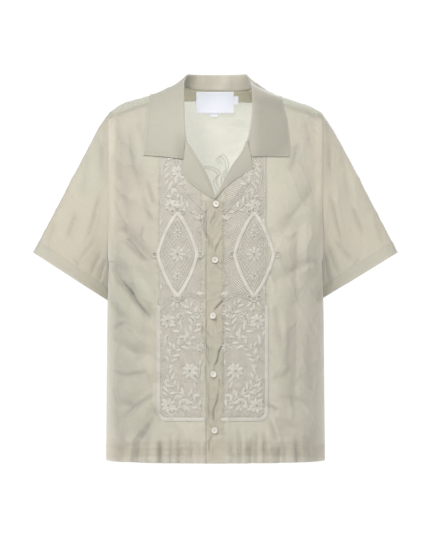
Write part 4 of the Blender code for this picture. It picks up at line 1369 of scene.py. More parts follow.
def sewn_edge_group():
    """A band beside an edge, from an edge's nearness: 1 in the band and 0 past its inner line."""
    group, nodes, given, result = new_group(
        "sewn_edge", {"Nearness": 0.0, "Width": 0.01, "Softness": 0.02}, ("Band", "Line"))
    inner = nodes.math("SUBTRACT", 1.0, nodes.math("DIVIDE", given["Width"], NEARNESS_REACH))
    past = nodes.math("SUBTRACT", given["Nearness"], inner)
    off = nodes.math("DIVIDE", nodes.math("ABSOLUTE", past), 0.03)
    nodes.feed(result, {
        "Band": nodes.spread(past, 0.0, given["Softness"]),
        "Line": nodes.math("SUBTRACT", 1.0, nodes.math("MINIMUM", off, 1.0)),
    })
    return group


def patches_group():
    """Large soft patches, from 0 to 1, for slight changes of hue and of thickness over a cloth."""
    group, nodes, given, result = new_group("soft_patches", {"Vector": None, "Scale": 9.0}, ("Value",))
    cloud = nodes.noise(given["Vector"], given["Scale"], 2.0, Roughness=0.45)
    nodes.feed(result, {"Value": nodes.spread(cloud, 0.32, 0.68)})
    return group


def thread_group():
    """Close-laid threads across a stitched shape, as ridges with a slight change of tone."""
    group, nodes, given, result = new_group(
        "laid_thread", {"Vector": None, "Pitch": 0.0005, "Slant": 0.0}, ("Height", "Shade"))
    parts = nodes.add("SeparateXYZ", {0: given["Vector"]}).node.outputs
    leaning = nodes.math("MULTIPLY", nodes.math("ABSOLUTE", parts[1]), given["Slant"])
    turns = nodes.math("DIVIDE", nodes.math("MULTIPLY", nodes.math("ADD", parts[0], leaning), math.tau),
                       given["Pitch"])
    nodes.feed(result, {
        "Height": nodes.math("MULTIPLY_ADD", nodes.math("SINE", turns), 0.5, 0.5),
        "Shade": nodes.noise(given["Vector"], 900.0, 2.0),
    })
    return group


weave = weave_group()
sewn_edge = sewn_edge_group()
patches = patches_group()
laid_thread = thread_group()


def new_material(name, roughness, sheen=0.0, specular=0.3):
    made = bpy.data.materials.new(name)
    made.use_nodes = True
    nodes = Nodes(made.node_tree)
    shader = made.node_tree.nodes["Principled BSDF"].inputs
    nodes.feed(shader, {"Roughness": roughness, "Sheen Weight": sheen, "Specular IOR Level": specular,
                        "Sheen Roughness": 0.4})
    return made, nodes, shader


def cloth_material(name, warm, cool, cover, pitch=0.00055, crisp=1.0, painted_glow=None):
    """Woven cloth that lets some light through. Cover is how much of each face the threads fill."""
    made, nodes, shader = new_material(name, 0.62, sheen=0.6)
    spot = nodes.spot()
    threads = nodes.place(weave, None, Vector=nodes.flat(), Pitch=pitch, Slub=0.22)
    patch = nodes.place(patches, "Value", Vector=spot, Scale=8.5)
    seam_band = nodes.place(sewn_edge, "Band", Nearness=nodes.attribute("seam_nearness"), Width=0.009,
                            Softness=0.03)
    hem_line = nodes.place(sewn_edge, "Line", Nearness=nodes.attribute("hem_nearness"), Width=0.0056,
                           Softness=0.02)
    toned = nodes.grey(nodes.math("MULTIPLY_ADD", threads["Shade"], 0.22, 0.89))
    base = nodes.mix(1.0, nodes.mix(patch, warm, cool), toned, "MULTIPLY")
    layered = nodes.math("MULTIPLY", seam_band, 0.8)
    base = nodes.mix(layered, base, tuple(channel * SEAM_TONE for channel in warm))
    # The tone attribute is painted light and shade, multiplied into the base colour
    tone = nodes.grey(nodes.attribute("tone"))
    # A glow is painted light: the cloth gives off light of its own, scaled by its painted tone squared, for
    # light that reaches it inside the shirt
    if painted_glow:
        strength, painted_glow_colour = painted_glow
        lit = nodes.mix(1.0, tone, tone, "MULTIPLY")
        nodes.feed(shader, {"Emission Strength": strength,
                            "Emission Color": nodes.mix(1.0, lit, painted_glow_colour, "MULTIPLY")})
    open_weave = nodes.math("MULTIPLY", nodes.math("SUBTRACT", threads["Shade"], 0.5), 0.35)
    alpha = nodes.math("ADD", nodes.math("ADD", open_weave, cover), nodes.math("MULTIPLY", layered, 0.16))
    crinkle = nodes.noise(spot, 95.0, 3.0, Distortion=0.8)
    crinkled = nodes.bump(crinkle, 0.35 * crisp, 0.0016)
    ridge = nodes.bump(hem_line, 0.4, 0.0004, invert=True, Normal=crinkled)
    nodes.feed(shader, {
        "Base Color": nodes.mix(1.0, base, tone, "MULTIPLY"),
        "Alpha": nodes.add("Clamp", {"Value": alpha}),
        "Roughness": nodes.math("MULTIPLY_ADD", patch, 0.08, 0.58),
        "Normal": nodes.bump(threads["Height"], 0.3, 0.0001, Normal=ridge),
    })
    return made


def thread_material(name, colour, shade, pitch, slant, depth=0.00014):
    """Silky thread laid side by side."""
    made, nodes, shader = new_material(name, SILK_ROUGHNESS, sheen=0.25, specular=0.45)
    rows = nodes.place(laid_thread, None, Vector=nodes.flat(), Pitch=pitch, Slant=slant)
    patch = nodes.place(patches, "Value", Vector=nodes.spot(), Scale=60.0)
    # Painted shade: the thread darkens towards its shade colour in the hollows between laid threads, and in
    # random patches
    hollow = nodes.math("MULTIPLY", nodes.math("SUBTRACT", 1.0, rows["Height"]), 0.5)
    dark = nodes.math("ADD", hollow, nodes.math("MULTIPLY", patch, 0.3))
    nodes.feed(shader, {
        "Base Color": nodes.mix(dark, colour, shade),
        "Roughness": nodes.math("MULTIPLY_ADD", rows["Shade"], 0.3, SILK_ROUGHNESS - 0.12),
        "Normal": nodes.bump(rows["Height"], 0.8, depth),
    })
    return made


def embroidered_ground_material(name, thread, gap):
    """Ground that is filled with flowing rows of fine stitches, with the cloth showing between the rows in
    a darker colour that also paints shade between the raised rows.
    """
    made, nodes, shader = new_material(name, 0.5, sheen=0.3, specular=0.35)
    flat = nodes.flat()
    parts = nodes.add("SeparateXYZ", {0: flat}).node.outputs
    flow = nodes.noise(flat, 24.0, 1.0)

    def waves(place, swing, pitch):
        """Rows across a direction, bent by the flow."""
        turns = nodes.math("ADD", nodes.math("MULTIPLY", flow, swing), nodes.math("DIVIDE", place, pitch))
        return nodes.math("SINE", nodes.math("MULTIPLY", turns, math.tau))

    rows = waves(nodes.math("ADD", nodes.math("MULTIPLY", parts[0], 0.7), parts[1]), 6.0, 0.0033)
    crossing = waves(nodes.math("SUBTRACT", parts[0], nodes.math("MULTIPLY", parts[1], 0.7)), 7.0, 0.0034)
    both = nodes.math("ADD", rows, nodes.math("MULTIPLY", crossing, 0.45))
    row = nodes.spread(both, -0.6, 0.5)
    strands = nodes.place(laid_thread, None, Vector=flat, Pitch=0.0007, Slant=0.0)
    tone = nodes.place(patches, "Value", Vector=flat, Scale=120.0)
    laid = nodes.math("MULTIPLY", row, nodes.math("MULTIPLY_ADD", tone, 0.35, 0.65))
    cover = nodes.math("MULTIPLY_ADD", row, 0.55, 0.25)
    grown = nodes.spread(nodes.attribute("seam_nearness"), 1.0, 0.76)
    raised = nodes.bump(row, 0.6, 0.0004)
    nodes.feed(shader, {
        "Base Color": nodes.mix(laid, gap, thread),
        "Alpha": nodes.math("MULTIPLY", cover, grown),
        "Normal": nodes.bump(strands["Height"], 0.4, 0.0001, Normal=raised),
        "Roughness": nodes.math("MULTIPLY_ADD", strands["Shade"], 0.25, 0.36),
    })
    return made


def pearl_material():
    """Polished shell: milky, with faint cloudy bands and a little gloss."""
    made, nodes, shader = new_material("pearl", 0.24, specular=0.55)
    spot = nodes.spot()
    bands = nodes.add("TexWave", {"Vector": spot, "Scale": 260.0, "Distortion": 5.0, "Detail": 2.0}, "Fac",
                      wave_type="BANDS")
    cloud = nodes.place(patches, "Value", Vector=spot, Scale=300.0)
    pale = nodes.mix(cloud, (0.64, 0.62, 0.545), (0.56, 0.55, 0.50))
    nodes.feed(shader, {
        "Coat Weight": 0.4,
        "Coat Roughness": 0.12,
        "Base Color": nodes.mix(nodes.math("MULTIPLY", bands, 0.25), pale, (0.67, 0.63, 0.585)),
        "Roughness": nodes.math("MULTIPLY_ADD", cloud, 0.12, 0.2),
    })
    return made


sheer_cloth = cloth_material("sheer cloth", (0.535, 0.485, 0.40), (0.50, 0.480, 0.385), 0.56)
# The back panel is lighter than the fronts and glows: painted light for the light that reaches the inside
# of the back
back_panel_cloth = cloth_material("back panel cloth", (0.65, 0.64, 0.51), (0.63, 0.63, 0.50), 0.40,
                                  crisp=0.35, painted_glow=(0.155, (0.95, 0.97, 0.78)))
sleeve_panel_cloth = cloth_material("sleeve cloth", (0.60, 0.545, 0.43), (0.56, 0.54, 0.43), 0.44)
hem_cloth = cloth_material("hem cloth", (0.66, 0.62, 0.53), (0.64, 0.615, 0.52), 0.28)
cuff_cloth = cloth_material("cuff hem cloth", (0.66, 0.635, 0.55), (0.64, 0.63, 0.545), 0.20)
collar_cloth = cloth_material("collar cloth", (0.467, 0.440, 0.366), (0.442, 0.425, 0.352), 0.78, crisp=0.2)
# The neck facing is far lighter than the other cloth: painted light for where it lies in the collar's shade
facing_cloth = cloth_material("facing cloth", (0.88, 0.83, 0.67), (0.86, 0.82, 0.665), 0.46, crisp=0.5)
# The label glows bluish white: painted light for inside the neck
label_cloth = cloth_material("label white", (0.90, 0.91, 0.95), (0.92, 0.925, 0.96), 0.97, pitch=0.0004,
                             crisp=0.2, painted_glow=(0.27, (0.72, 0.80, 1.0)))
satin = thread_material("ivory satin", (0.53, 0.51, 0.45), (0.44, 0.42, 0.36), 0.0006, 0.0)
frame_satin = thread_material("frame satin", (0.61, 0.585, 0.52), (0.50, 0.475, 0.415), 0.0006, 0.0)
leaf_thread = thread_material("ivory leaf thread", (0.57, 0.545, 0.485), (0.44, 0.42, 0.355), 0.0007, 0.9)
cord_thread = thread_material("ivory cord", (0.57, 0.545, 0.485), (0.42, 0.395, 0.335), 0.0022, 1.2,
                              depth=0.0003)
fine_thread = thread_material("fine ivory thread", (0.58, 0.555, 0.485), (0.46, 0.435, 0.37), 0.0008, 0.8)
sewing_thread = thread_material("sewing thread", (0.42, 0.395, 0.31), (0.33, 0.31, 0.24), 0.0005, 0.8)
tonal_thread = thread_material("tonal thread", (0.60, 0.60, 0.50), (0.54, 0.54, 0.44), 0.0006, 0.8)
button_thread = thread_material("button thread", (0.50, 0.47, 0.40), (0.38, 0.36, 0.30), 0.0004, 0.8)
embroidered_ground = embroidered_ground_material(
    "embroidered ground", (0.61, 0.58, 0.51), (0.50, 0.465, 0.39))
pearl = pearl_material()


# The shirt's cloth


def finish_piece(piece, material_slot, *nodes):
    """Says what a piece rides on and which solids it stands for. Its material slot is not used."""
    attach(piece, "root")
    if nodes:
        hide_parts(*nodes)
    return piece


back_cloth = back_grid()
back = finish_piece(make_sheet("back_cloth", back_cloth, back_panel_cloth, seams=("left", "right", "top"),
                               measure_from="middle", tone=back_tone), "sheer_cloth", "back")
back_turn = edge_band(back_cloth, "bottom", BODY_HEM, 8)
finish_piece(make_sheet("back_hem", back_turn, hem_cloth), "sheer_cloth")

fronts, front_cloth = {}, {}
for side, name in SIDE_NAME.items():
    grid = front_grid(side)
    front_cloth[side] = grid
    sheet = make_sheet(f"front_{name}_cloth", grid, sheer_cloth, seams=(OUTER_EDGE[side], "top"),
                       measure_from=OUTER_EDGE[side], tone=front_tone(side))
    fronts[side] = finish_piece(sheet, "sheer_cloth", f"front_{name}")
    turn = edge_band(grid, "bottom", BODY_HEM, 8)
    finish_piece(make_sheet(f"front_{name}_hem", turn, hem_cloth), "sheer_cloth")
    inner_column = 0 if side == LEFT else -1
    top_row = next(row for row in range(grid.rows) if grid.points[row][inner_column].z > FACING_TOP_Z)
    turn = edge_band(grid, INNER_EDGE[side], FRONT_FACING, 12, FACING_FOOT_SHARE, top_row / grid.rows)
    finish_piece(make_sheet(f"front_{name}_facing", turn, hem_cloth), "facing_cloth")

sleeve_cloth = {}
for side, name in SIDE_NAME.items():
    grid = sleeve_grid(side)
    sleeve_cloth[side] = grid
    finish_piece(make_sheet(f"sleeve_{name}_cloth", grid, sleeve_panel_cloth, seams=("left", "right"),
                            tone=sleeve_tone(side)), "sheer_cloth", f"sleeve_{name}")
    turn = edge_band(grid, CUFF_EDGE[side], SLEEVE_HEM, 7)
    finish_piece(make_sheet(f"sleeve_{name}_hem", turn, cuff_cloth), "sheer_cloth")

collar_cut = collar_grid()
collar = finish_piece(make_sheet("collar_cloth", collar_cut, collar_cloth, STIFF_WALL, seams=("bottom",),
                                 hems=("top", "left", "right"), measure_from="middle", tone=collar_tone),
                      "collar_cloth", "collar")
lapel_cloth = {}
for side, name in SIDE_NAME.items():
    lapel_cloth[side] = lapel_grid(side)
    sheet = make_sheet(f"lapel_{name}_cloth", lapel_cloth[side], collar_cloth, LAPEL_WALL, hems=("top",))
    finish_piece(sheet, "facing_cloth", f"lapel_{name}")

inside = {}
for name, node, finish, material_slot, wall, hems, *shape in (
    ("neck_strip", "neck_facing", facing_cloth, "facing_cloth", LAPEL_WALL, (),
     (-0.0615, 0.0675), (0.019,), -TURN_DEPTH, 64, 10),
    ("neck_label", "label", label_cloth, "label_white", LABEL_WALL, ("left", "right", "top", "bottom"),
     (-0.0368, 0.0349), (-0.0533, -0.0150), -LABEL_DEPTH, 36, 20),
    ("size_loop", "size_tab", label_cloth, "label_white", LABEL_WALL, (),
     (-0.0097, 0.0040), (-0.0612, -0.0490), -TURN_DEPTH, 10, 8),
    ("side_loop", "side_tab", label_cloth, "label_white", LABEL_WALL, (),
     (0.0353, 0.0440), (-0.0379, -0.0233), -LABEL_DEPTH, 8, 10),
):
    inside[name] = inside_patch(*shape)
    finish_piece(make_sheet(name, inside[name], finish, wall, hems=hems), material_slot, node)

# Topstitching, in sewing thread

outer_face = CLOTH_WALL + 0.0001
collar_face = STIFF_WALL + 0.0001
topstitching = Work()
topstitching.stitches(back_cloth.inset("bottom", BODY_HEM - 0.001, outer_face))
for side in (RIGHT, LEFT):
    grid = front_cloth[side]
    # The left front lies over the last of the right one's hem
    seen = 0.86 if side == RIGHT else 1.0
    for cloth, edge, distance, lift, *part in (
        (grid, "bottom", BODY_HEM - 0.001, outer_face, 0.0, seen),
        (grid, "top", SEAM_STITCH, outer_face),
        (grid, OUTER_EDGE[side], SEAM_STITCH, outer_face, LOWER_ROWS / grid.rows),
        (sleeve_cloth[side], CUFF_EDGE[side], SLEEVE_HEM - 0.001, outer_face),
        (lapel_cloth[side], "top", 0.005, LAPEL_WALL + 0.0001),
    ):
        topstitching.stitches(cloth.inset(edge, distance, lift, *part))
topstitching.stitches(collar_cut.inset("top", COLLAR_STITCH, collar_face))
topstitching.stitches(collar_cut.inset("left", COLLAR_STITCH, collar_face, 0.35, 0.98))
topstitching.stitches(collar_cut.inset("right", COLLAR_STITCH, collar_face, 0.35, 0.98))
topstitching.stitches(inside["neck_strip"].inset("bottom", 0.0018, -0.0001))
finish_piece(topstitching.piece("topstitching", sewing_thread), "sheer_cloth")

label_stitching = Work()
for edge in ("top", "left", "right"):
    line = inside["neck_label"].inset(edge, 0.0015, -0.0001)
    label_stitching.stitches([(point, -normal) for point, normal in line])
finish_piece(label_stitching.piece("label_stitching", button_thread), "label_white")

# Embroidery

SPRAY_STEMS = (  # share of the panel's width and height in metres: two main vines, then their branches
    ((0.06, -0.612), (0.30, -0.592), (0.62, -0.574), (0.80, -0.538), (0.62, -0.500), (0.34, -0.480),
     (0.20, -0.446), (0.36, -0.416)),
    ((0.30, -0.246), (0.56, -0.228), (0.82, -0.204), (0.90, -0.170), (0.80, -0.142)),
    ((0.62, -0.574), (0.46, -0.602), (0.66, -0.618)),
    ((0.62, -0.500), (0.84, -0.494), (0.92, -0.474)),
    ((0.34, -0.480), (0.56, -0.462), (0.66, -0.432)),
    ((0.80, -0.538), (0.92, -0.566), (0.90, -0.590)),
    ((0.30, -0.592), (0.14, -0.566), (0.10, -0.530)),
    ((0.82, -0.204), (0.62, -0.196), (0.52, -0.178)),
)
BLOSSOMS = (  # share of width, height, radius in mm, petals
    (0.78, -0.604, 15.0, 8), (0.32, -0.540, 16.0, 8), (0.80, -0.448, 14.5, 8), (0.10, -0.496, 9.5, 7),
    (0.52, -0.438, 9.0, 6), (0.74, -0.234, 12.0, 8), (0.58, -0.172, 13.0, 8), (0.12, -0.432, 9.0, 6),
)
BUDS = (  # share of width, height, angle in degrees, length in mm
    (0.48, -0.606, 230, 11), (0.92, -0.474, 70, 11), (0.66, -0.432, 80, 11), (0.36, -0.416, 60, 12),
    (0.80, -0.142, 120, 10), (0.30, -0.246, 190, 10), (0.10, -0.530, 100, 12), (0.90, -0.590, 260, 11),
    (0.10, -0.262, 80, 12), (0.10, -0.262, 40, 12), (0.10, -0.262, 120, 12), (0.08, -0.392, 280, 12),
    (0.08, -0.392, 240, 12), (0.08, -0.392, 320, 12), (0.95, -0.270, 100, 11), (0.95, -0.380, 260, 11),
)
CURLS = (  # share of width, height, radius in mm, starting angle in degrees, and 1 or -1 for its hand
    (0.52, -0.560, 7.5, 40, 1), (0.93, -0.518, 6.5, 200, -1), (0.14, -0.590, 7.0, 120, -1),
    (0.56, -0.476, 6.5, 300, 1), (0.36, -0.618, 6.0, 20, 1), (0.30, -0.452, 6.5, 150, -1),
    (0.94, -0.426, 6.0, 260, 1), (0.66, -0.518, 6.0, 80, -1), (0.92, -0.222, 6.5, 240, -1),
    (0.44, -0.214, 6.0, 60, 1), (0.12, -0.286, 6.5, 280, 1), (0.12, -0.366, 6.5, 80, -1),
    (0.06, -0.462, 6.0, 20, 1), (0.80, -0.570, 6.0, 320, 1),
)
SWAGS = (  # ladder ribbons: share of width and height
    ((0.02, -0.248), (0.26, -0.226), (0.46, -0.202), (0.62, -0.166), (0.66, -0.140)),
    ((0.02, -0.408), (0.30, -0.398), (0.62, -0.404), (0.98, -0.424)),
)
TONAL_STEMS = (  # x and height on the inner side of the back
    ((-0.046, -0.146), (-0.030, -0.158), (-0.012, -0.160), (0.004, -0.170), (-0.004, -0.186),
     (0.004, -0.206), (0.004, -0.228)),
    ((0.016, -0.142), (0.020, -0.158), (0.012, -0.176), (0.012, -0.196), (0.010, -0.222)),
    ((0.016, -0.142), (0.008, -0.136), (0.002, -0.144), (0.006, -0.152)),
)
TONAL_LEAVES = (  # x, height, and direction in radians
    (-0.036, -0.164, 3.9), (-0.018, -0.168, 4.3), (0.020, -0.166, 5.6), (0.018, -0.188, 0.3),
)


def in_medallion(side, x, z, shrink):
    centre_x, centre_z = MEDALLION_CENTRE[side]
    reach_x = abs(x - centre_x) / (MEDALLION_HALF_WIDTH * shrink)
    reach_z = abs(z - centre_z) / (MEDALLION_HALF_HEIGHT * shrink)
    return reach_x**MEDALLION_SQUARENESS + reach_z**MEDALLION_SQUARENESS < 1


def medallion_spots(side, scale, count):
    centre_x, centre_z = MEDALLION_CENTRE[side]
    spots = []
    for index in range(count):
        reach = [math.copysign(abs(part) ** (2 / MEDALLION_SQUARENESS), part)
                 for part in heading(2 * math.pi * index / count)]
        spots.append((centre_x + MEDALLION_HALF_WIDTH * scale * reach[0],
                      centre_z + MEDALLION_HALF_HEIGHT * scale * reach[1]))
    return spots


def under_lapel(x, z):
    """True where the collar or the lapel hides the panel."""
    if x > 0.066:
        return z > PANEL_TOP_Z
    return z > -0.168 - (0.066 - x) * 0.86


def crowned(ground, spot, offset, height):
    """A point of a satin band's rounded top, for an offset from -1 to 1 across it."""
    return ground.spot(spot.x, spot.y, 0.0002 + height * math.sqrt(max(0.0, 1 - offset**4)))[0]


def frame_grid(ground):
    """The thick satin band round the medallion."""
    spots = medallion_spots(ground.side, 1.0, 168)
    count = len(spots)

    def place(column, row):
        spot = Vector(spots[column % count])
        ahead = Vector(spots[(column + 1) % count]) - Vector(spots[(column - 1) % count])
        inward = Vector((-ahead.y, ahead.x)).normalized() * ground.side
        offset = row / 8 * 2 - 1
        spot += inward * offset * FRAME_WIDTH / 2
        return crowned(ground, spot, offset, FRAME_HEIGHT)

    return Grid(count, 8, place, closed=True)


def arc_spots(centre, radius, count, span=math.tau, rise=1.0):
    """Spots on an arc that starts on the right. Rise makes it higher than it is wide."""
    angles = [turn * span / count for turn in range(count if span == math.tau else count + 1)]
    return [(centre[0] + radius * math.cos(angle), centre[1] + radius * rise * math.sin(angle))
            for angle in angles]


def curl(cords, ground, centre, radius, angle, hand):
    """A spiral of cord."""
    spots = []
    for step in range(30):
        share = step / 29
        turn = angle + hand * share * 1.35 * math.tau
        reach = radius * (1 - 0.8 * share)
        spots.append((centre[0] + math.cos(turn) * reach, centre[1] + math.sin(turn) * reach))
    ground.cord(cords, spots, 0.0004, 0.00085, 5, taper=0.4)


def medallion(ground):
    """A lattice in a cord, with rings and leaves at its tips and blossoms down its middle."""
    cords, lattice, leaves, knots = Work(), Work(), Work(), Work()
    centre_x, centre_z = MEDALLION_CENTRE[ground.side]
    ground.cord(cords, medallion_spots(ground.side, 0.83, 130), 0.0004, 0.0009, 6, closed=True)
    for tip_x, tip_z in ((0, 1), (0, -1), (1, 0), (-1, 0)):
        reach = 1.0 + (0.075 if tip_z else 0.15)
        middle = Vector((centre_x + tip_x * MEDALLION_HALF_WIDTH * reach,
                         centre_z + tip_z * MEDALLION_HALF_HEIGHT * reach))
        rings = [(middle, 0.0050)]
        if tip_z:
            rings += [(middle + Vector((lean * 0.0088, -tip_z * 0.0030)), 0.0040) for lean in (-1, 1)]
        for centre, radius in rings:
            ground.cord(cords, arc_spots(centre, radius, 26), 0.0009, 0.0015, 6, closed=True)
            ground.knot(knots, centre.x, centre.y, 0.0003, 0.0013)
        for lean in (-0.7, 0.0, 0.7) if tip_z else ():
            angle = math.pi / 2 * tip_z + lean
            satin_leaf(leaves, ground, middle + heading(angle) * 0.0068, angle, 0.014, 0.0058)
    for slope in (1, -1):
        for number in range(-22, 23):
            run = []
            for step in range(-90, 91):
                x = centre_x + step * 0.0012
                rise = slope * (x - centre_x) + number * LATTICE_PITCH
                if in_medallion(ground.side, x, centre_z + rise * LATTICE_SLOPE, 0.82):
                    run.append((x, centre_z + rise * LATTICE_SLOPE))
            if len(run) > 2:
                ground.cord(lattice, run[::2] + run[-1:], 0.0002, 0.00050)
    for column in range(-12, 13):
        for row in range(-24, 25):
            x = centre_x + column * LATTICE_PITCH / 2
            z = centre_z + row * LATTICE_PITCH * LATTICE_SLOPE / 2
            clear = math.hypot(x - centre_x, z - centre_z) > 0.017
            if (column + row) % 2 == 0 and clear and in_medallion(ground.side, x, z, 0.76):
                ground.knot(knots, x, z, 0.0003, 0.0008)
    blossom(leaves, knots, ground, (centre_x, centre_z), 0.0155, 8)
    for tip_z in (1, -1):
        blossom(leaves, knots, ground, (centre_x, centre_z + tip_z * 0.040), 0.0085, 6, inner=False)
    return cords, lattice, leaves, knots


def vines(ground):
    """Stems with leaves on both sides, outlined blossoms, buds and curls."""
    cords, leaves, knots = Work(), Work(), Work()
    inner, outer = ground.share_x(0.0), ground.share_x(1.0) - 0.005
    for number, stem in enumerate(SPRAY_STEMS):
        spots = curve_spots([(ground.share_x(share), z) for share, z in stem])
        ground.cord(cords, spots, 0.0005, 0.0011 if number < 2 else 0.0009, 6)
        for index in range(3, len(spots) - 2, 5):
            ahead = spots[index + 1] - spots[index - 1]
            for lean in (0.9, -0.9) if index % 2 else (-0.75, 0.75):
                angle = math.atan2(ahead.y, ahead.x) + lean
                length = 0.0150 + 0.003 * math.sin(index * 1.7 + lean)
                root = spots[index] + heading(angle) * 0.0014
                tip = root + heading(angle) * length
                if inner < tip.x < outer and tip.y > PANEL_BOTTOM_Z + 0.006 and not under_lapel(*tip):
                    satin_leaf(leaves, ground, root, angle, length, 0.0064)
    for share, z, radius, petals in BLOSSOMS:
        centre = (ground.share_x(share), z)
        radius /= 1000
        blossom(leaves, knots, ground, centre, radius, petals, turn=z * 40)
        outline = []
        for step in range(petals * 8):
            angle = math.tau * step / (petals * 8)
            reach = radius * (1.06 + 0.13 * abs(math.cos((angle - z * 40) * petals / 2)))
            outline.append((centre[0] + math.cos(angle) * reach, centre[1] + math.sin(angle) * reach))
        ground.cord(cords, outline, 0.0003, 0.0007, 5, closed=True)
    for share, z, angle, length in BUDS:
        x = ground.share_x(share)
        satin_leaf(leaves, ground, (x, z), math.radians(angle), length / 1000, length / 2000, 0.0012)
        ground.knot(knots, x, z, 0.0004, 0.0012)
    for share, z, radius, angle, hand in CURLS:
        curl(cords, ground, (ground.share_x(share), z), radius / 1000, math.radians(angle), hand)
    return cords, leaves, knots


def swags(ground):
    """Ribbons of ladder stitch between two cords, with a row of knots along each."""
    cords, knots = Work(), Work()
    for swag in SWAGS:
        middle = curve_spots([(ground.share_x(share), z) for share, z in swag], 0.0021)
        rails = ([], [])
        for index, spot in enumerate(middle):
            ahead = middle[min(index + 1, len(middle) - 1)] - middle[max(index - 1, 0)]
            across = Vector((-ahead.y, ahead.x)).normalized()
            ends = [spot + across * offset for offset in (-0.0036, 0.0036)]
            for rail, end in zip(rails, ends):
                rail.append(end)
            if index % 2:
                ground.cord(cords, [ends[0], spot, ends[1]], 0.0003, 0.0008)
            elif index % 4 == 0:
                ground.knot(knots, *(spot + across * 0.0068), 0.0003, 0.0008)
        for rail in rails:
            ground.cord(cords, rail, 0.0005, 0.0010, 6)
    return cords, knots


def edge_dots(ground):
    """A row of knots down each long side of the panel."""
    work = Work()
    for share, top in ((0.93, BORDER_TOP_Z), (0.025, -0.262)):
        for number in range(74):
            z = top - 0.0062 * number
            if z >= PANEL_BOTTOM_Z + 0.016:
                ground.knot(work, ground.share_x(share), z, 0.0003, 0.0010)
    return (work,)


def picot_edge(ground):
    """A thin cord with small loops down the panel's outer side, from the collar to the border."""
    work = Work()
    spots = []
    outer = ground.share_x(1.0) - 0.002
    length = PANEL_TOP_Z - BORDER_TOP_Z
    for step in range(361):
        share = step / 360
        loop = 0.0022 * abs(math.sin(math.pi * share * length / 0.0075)) ** 0.7
        spots.append((outer + loop, PANEL_TOP_Z - share * length))
    ground.cord(work, spots, 0.0003, 0.0008, 5)
    rail = [(outer - 0.0012, PANEL_TOP_Z - number / 120 * length) for number in range(121)]
    ground.cord(work, rail, 0.0004, 0.0010, 6)
    return (work,)


def foot_scallops(ground):
    """A row of small double arches that stand on the border's foot."""
    work = Work()
    start, end = ground.share_x(0.02), ground.share_x(1.0) - BORDER_CORNER_RADIUS
    count = round((end - start) / 0.0115)
    for number in range(count):
        middle = start + (number + 0.5) * (end - start) / count
        for radius in (0.0052, 0.0036):
            arch = arc_spots((middle, PANEL_BOTTOM_Z + 0.0045), radius, 10, math.pi, 1.1)
            ground.cord(work, arch, 0.0003, 0.0006)
    return (work,)


def field_grid(ground):
    """The sheet of fine stitching that fills the panel. Its inner edge follows the neck."""
    columns, rows = 34, 200
    side = ground.side
    outer = ground.share_x(1.0) - 0.002
    margin = {RIGHT: 0.0035, LEFT: 0.0015}[side]

    def place(column, row):
        z = PANEL_BOTTOM_Z + 0.002 + (PANEL_TOP_Z - PANEL_BOTTOM_Z) * row / rows
        neck = front_inner_edge(side, level_at(side * outer, z)) + 0.003
        wander = 0.0055 * noise.noise(Vector((3.0 * side, 1.0, z * 34)))
        wander += 0.0025 * noise.noise(Vector((side, 5.0, z * 110)))
        inner = max(ground.share_x(0.0) + margin + wander, neck)
        share = column / columns if side == LEFT else 1 - column / columns
        corner = BORDER_CORNER_RADIUS * (1 - ramp(z, PANEL_BOTTOM_Z, BORDER_CORNER_RADIUS))
        return ground.spot(inner + (outer - corner * 0.4 - inner) * share, z, 0.0001)[0]

    return Grid(columns, rows, place)


def border_grid(ground):
    """The satin band down the panel's outer side, round its corner and along its foot."""
    outer = PANEL_OUTER_X[ground.side]
    down = BORDER_TOP_Z - PANEL_BOTTOM_Z - BORDER_CORNER_RADIUS
    round_length = BORDER_CORNER_RADIUS * math.pi / 2
    length = down + round_length + outer - BORDER_CORNER_RADIUS - PANEL_INNER_X[ground.side]
    columns, rows = 8, 170

    def centre(distance):
        if distance < down:
            return Vector((outer, BORDER_TOP_Z - distance)), Vector((1, 0))
        if distance < down + round_length:
            normal = heading(-(distance - down) / BORDER_CORNER_RADIUS)
            middle = Vector((outer - BORDER_CORNER_RADIUS, PANEL_BOTTOM_Z + BORDER_CORNER_RADIUS))
            return middle + normal * BORDER_CORNER_RADIUS, normal
        rest = distance - down - round_length
        return Vector((outer - BORDER_CORNER_RADIUS - rest, PANEL_BOTTOM_Z)), Vector((0, -1))

    def place(column, row):
        spot, normal = centre(length * (1 - row / rows))
        offset = column / columns * 2 - 1
        spot += normal * BORDER_WIDTH * 0.5 * offset * ground.side
        return crowned(ground, spot, offset, BORDER_HEIGHT)

    return Grid(columns, rows, place)


STITCHED_WORKS = (  # the first and last words of the pieces' names, and each one's thread
    ("medallion", medallion, (("cord", cord_thread), ("lattice", fine_thread), ("petals", leaf_thread),
                              ("knots", cord_thread))),
    ("vine", vines, (("stems", cord_thread), ("leaves", leaf_thread), ("knots", cord_thread))),
    ("ribbon", swags, (("ladder", cord_thread), ("knots", cord_thread))),
    ("edge", edge_dots, (("dots", cord_thread),)),
    ("picot", picot_edge, (("cord", cord_thread),)),
    ("foot", foot_scallops, (("scallops", cord_thread),)),
)
embroidered = {RIGHT: [], LEFT: []}


def keep(side, piece, material_slot, *nodes):
    finish_piece(piece, material_slot, *nodes)
    embroidered[side].append(piece.name)


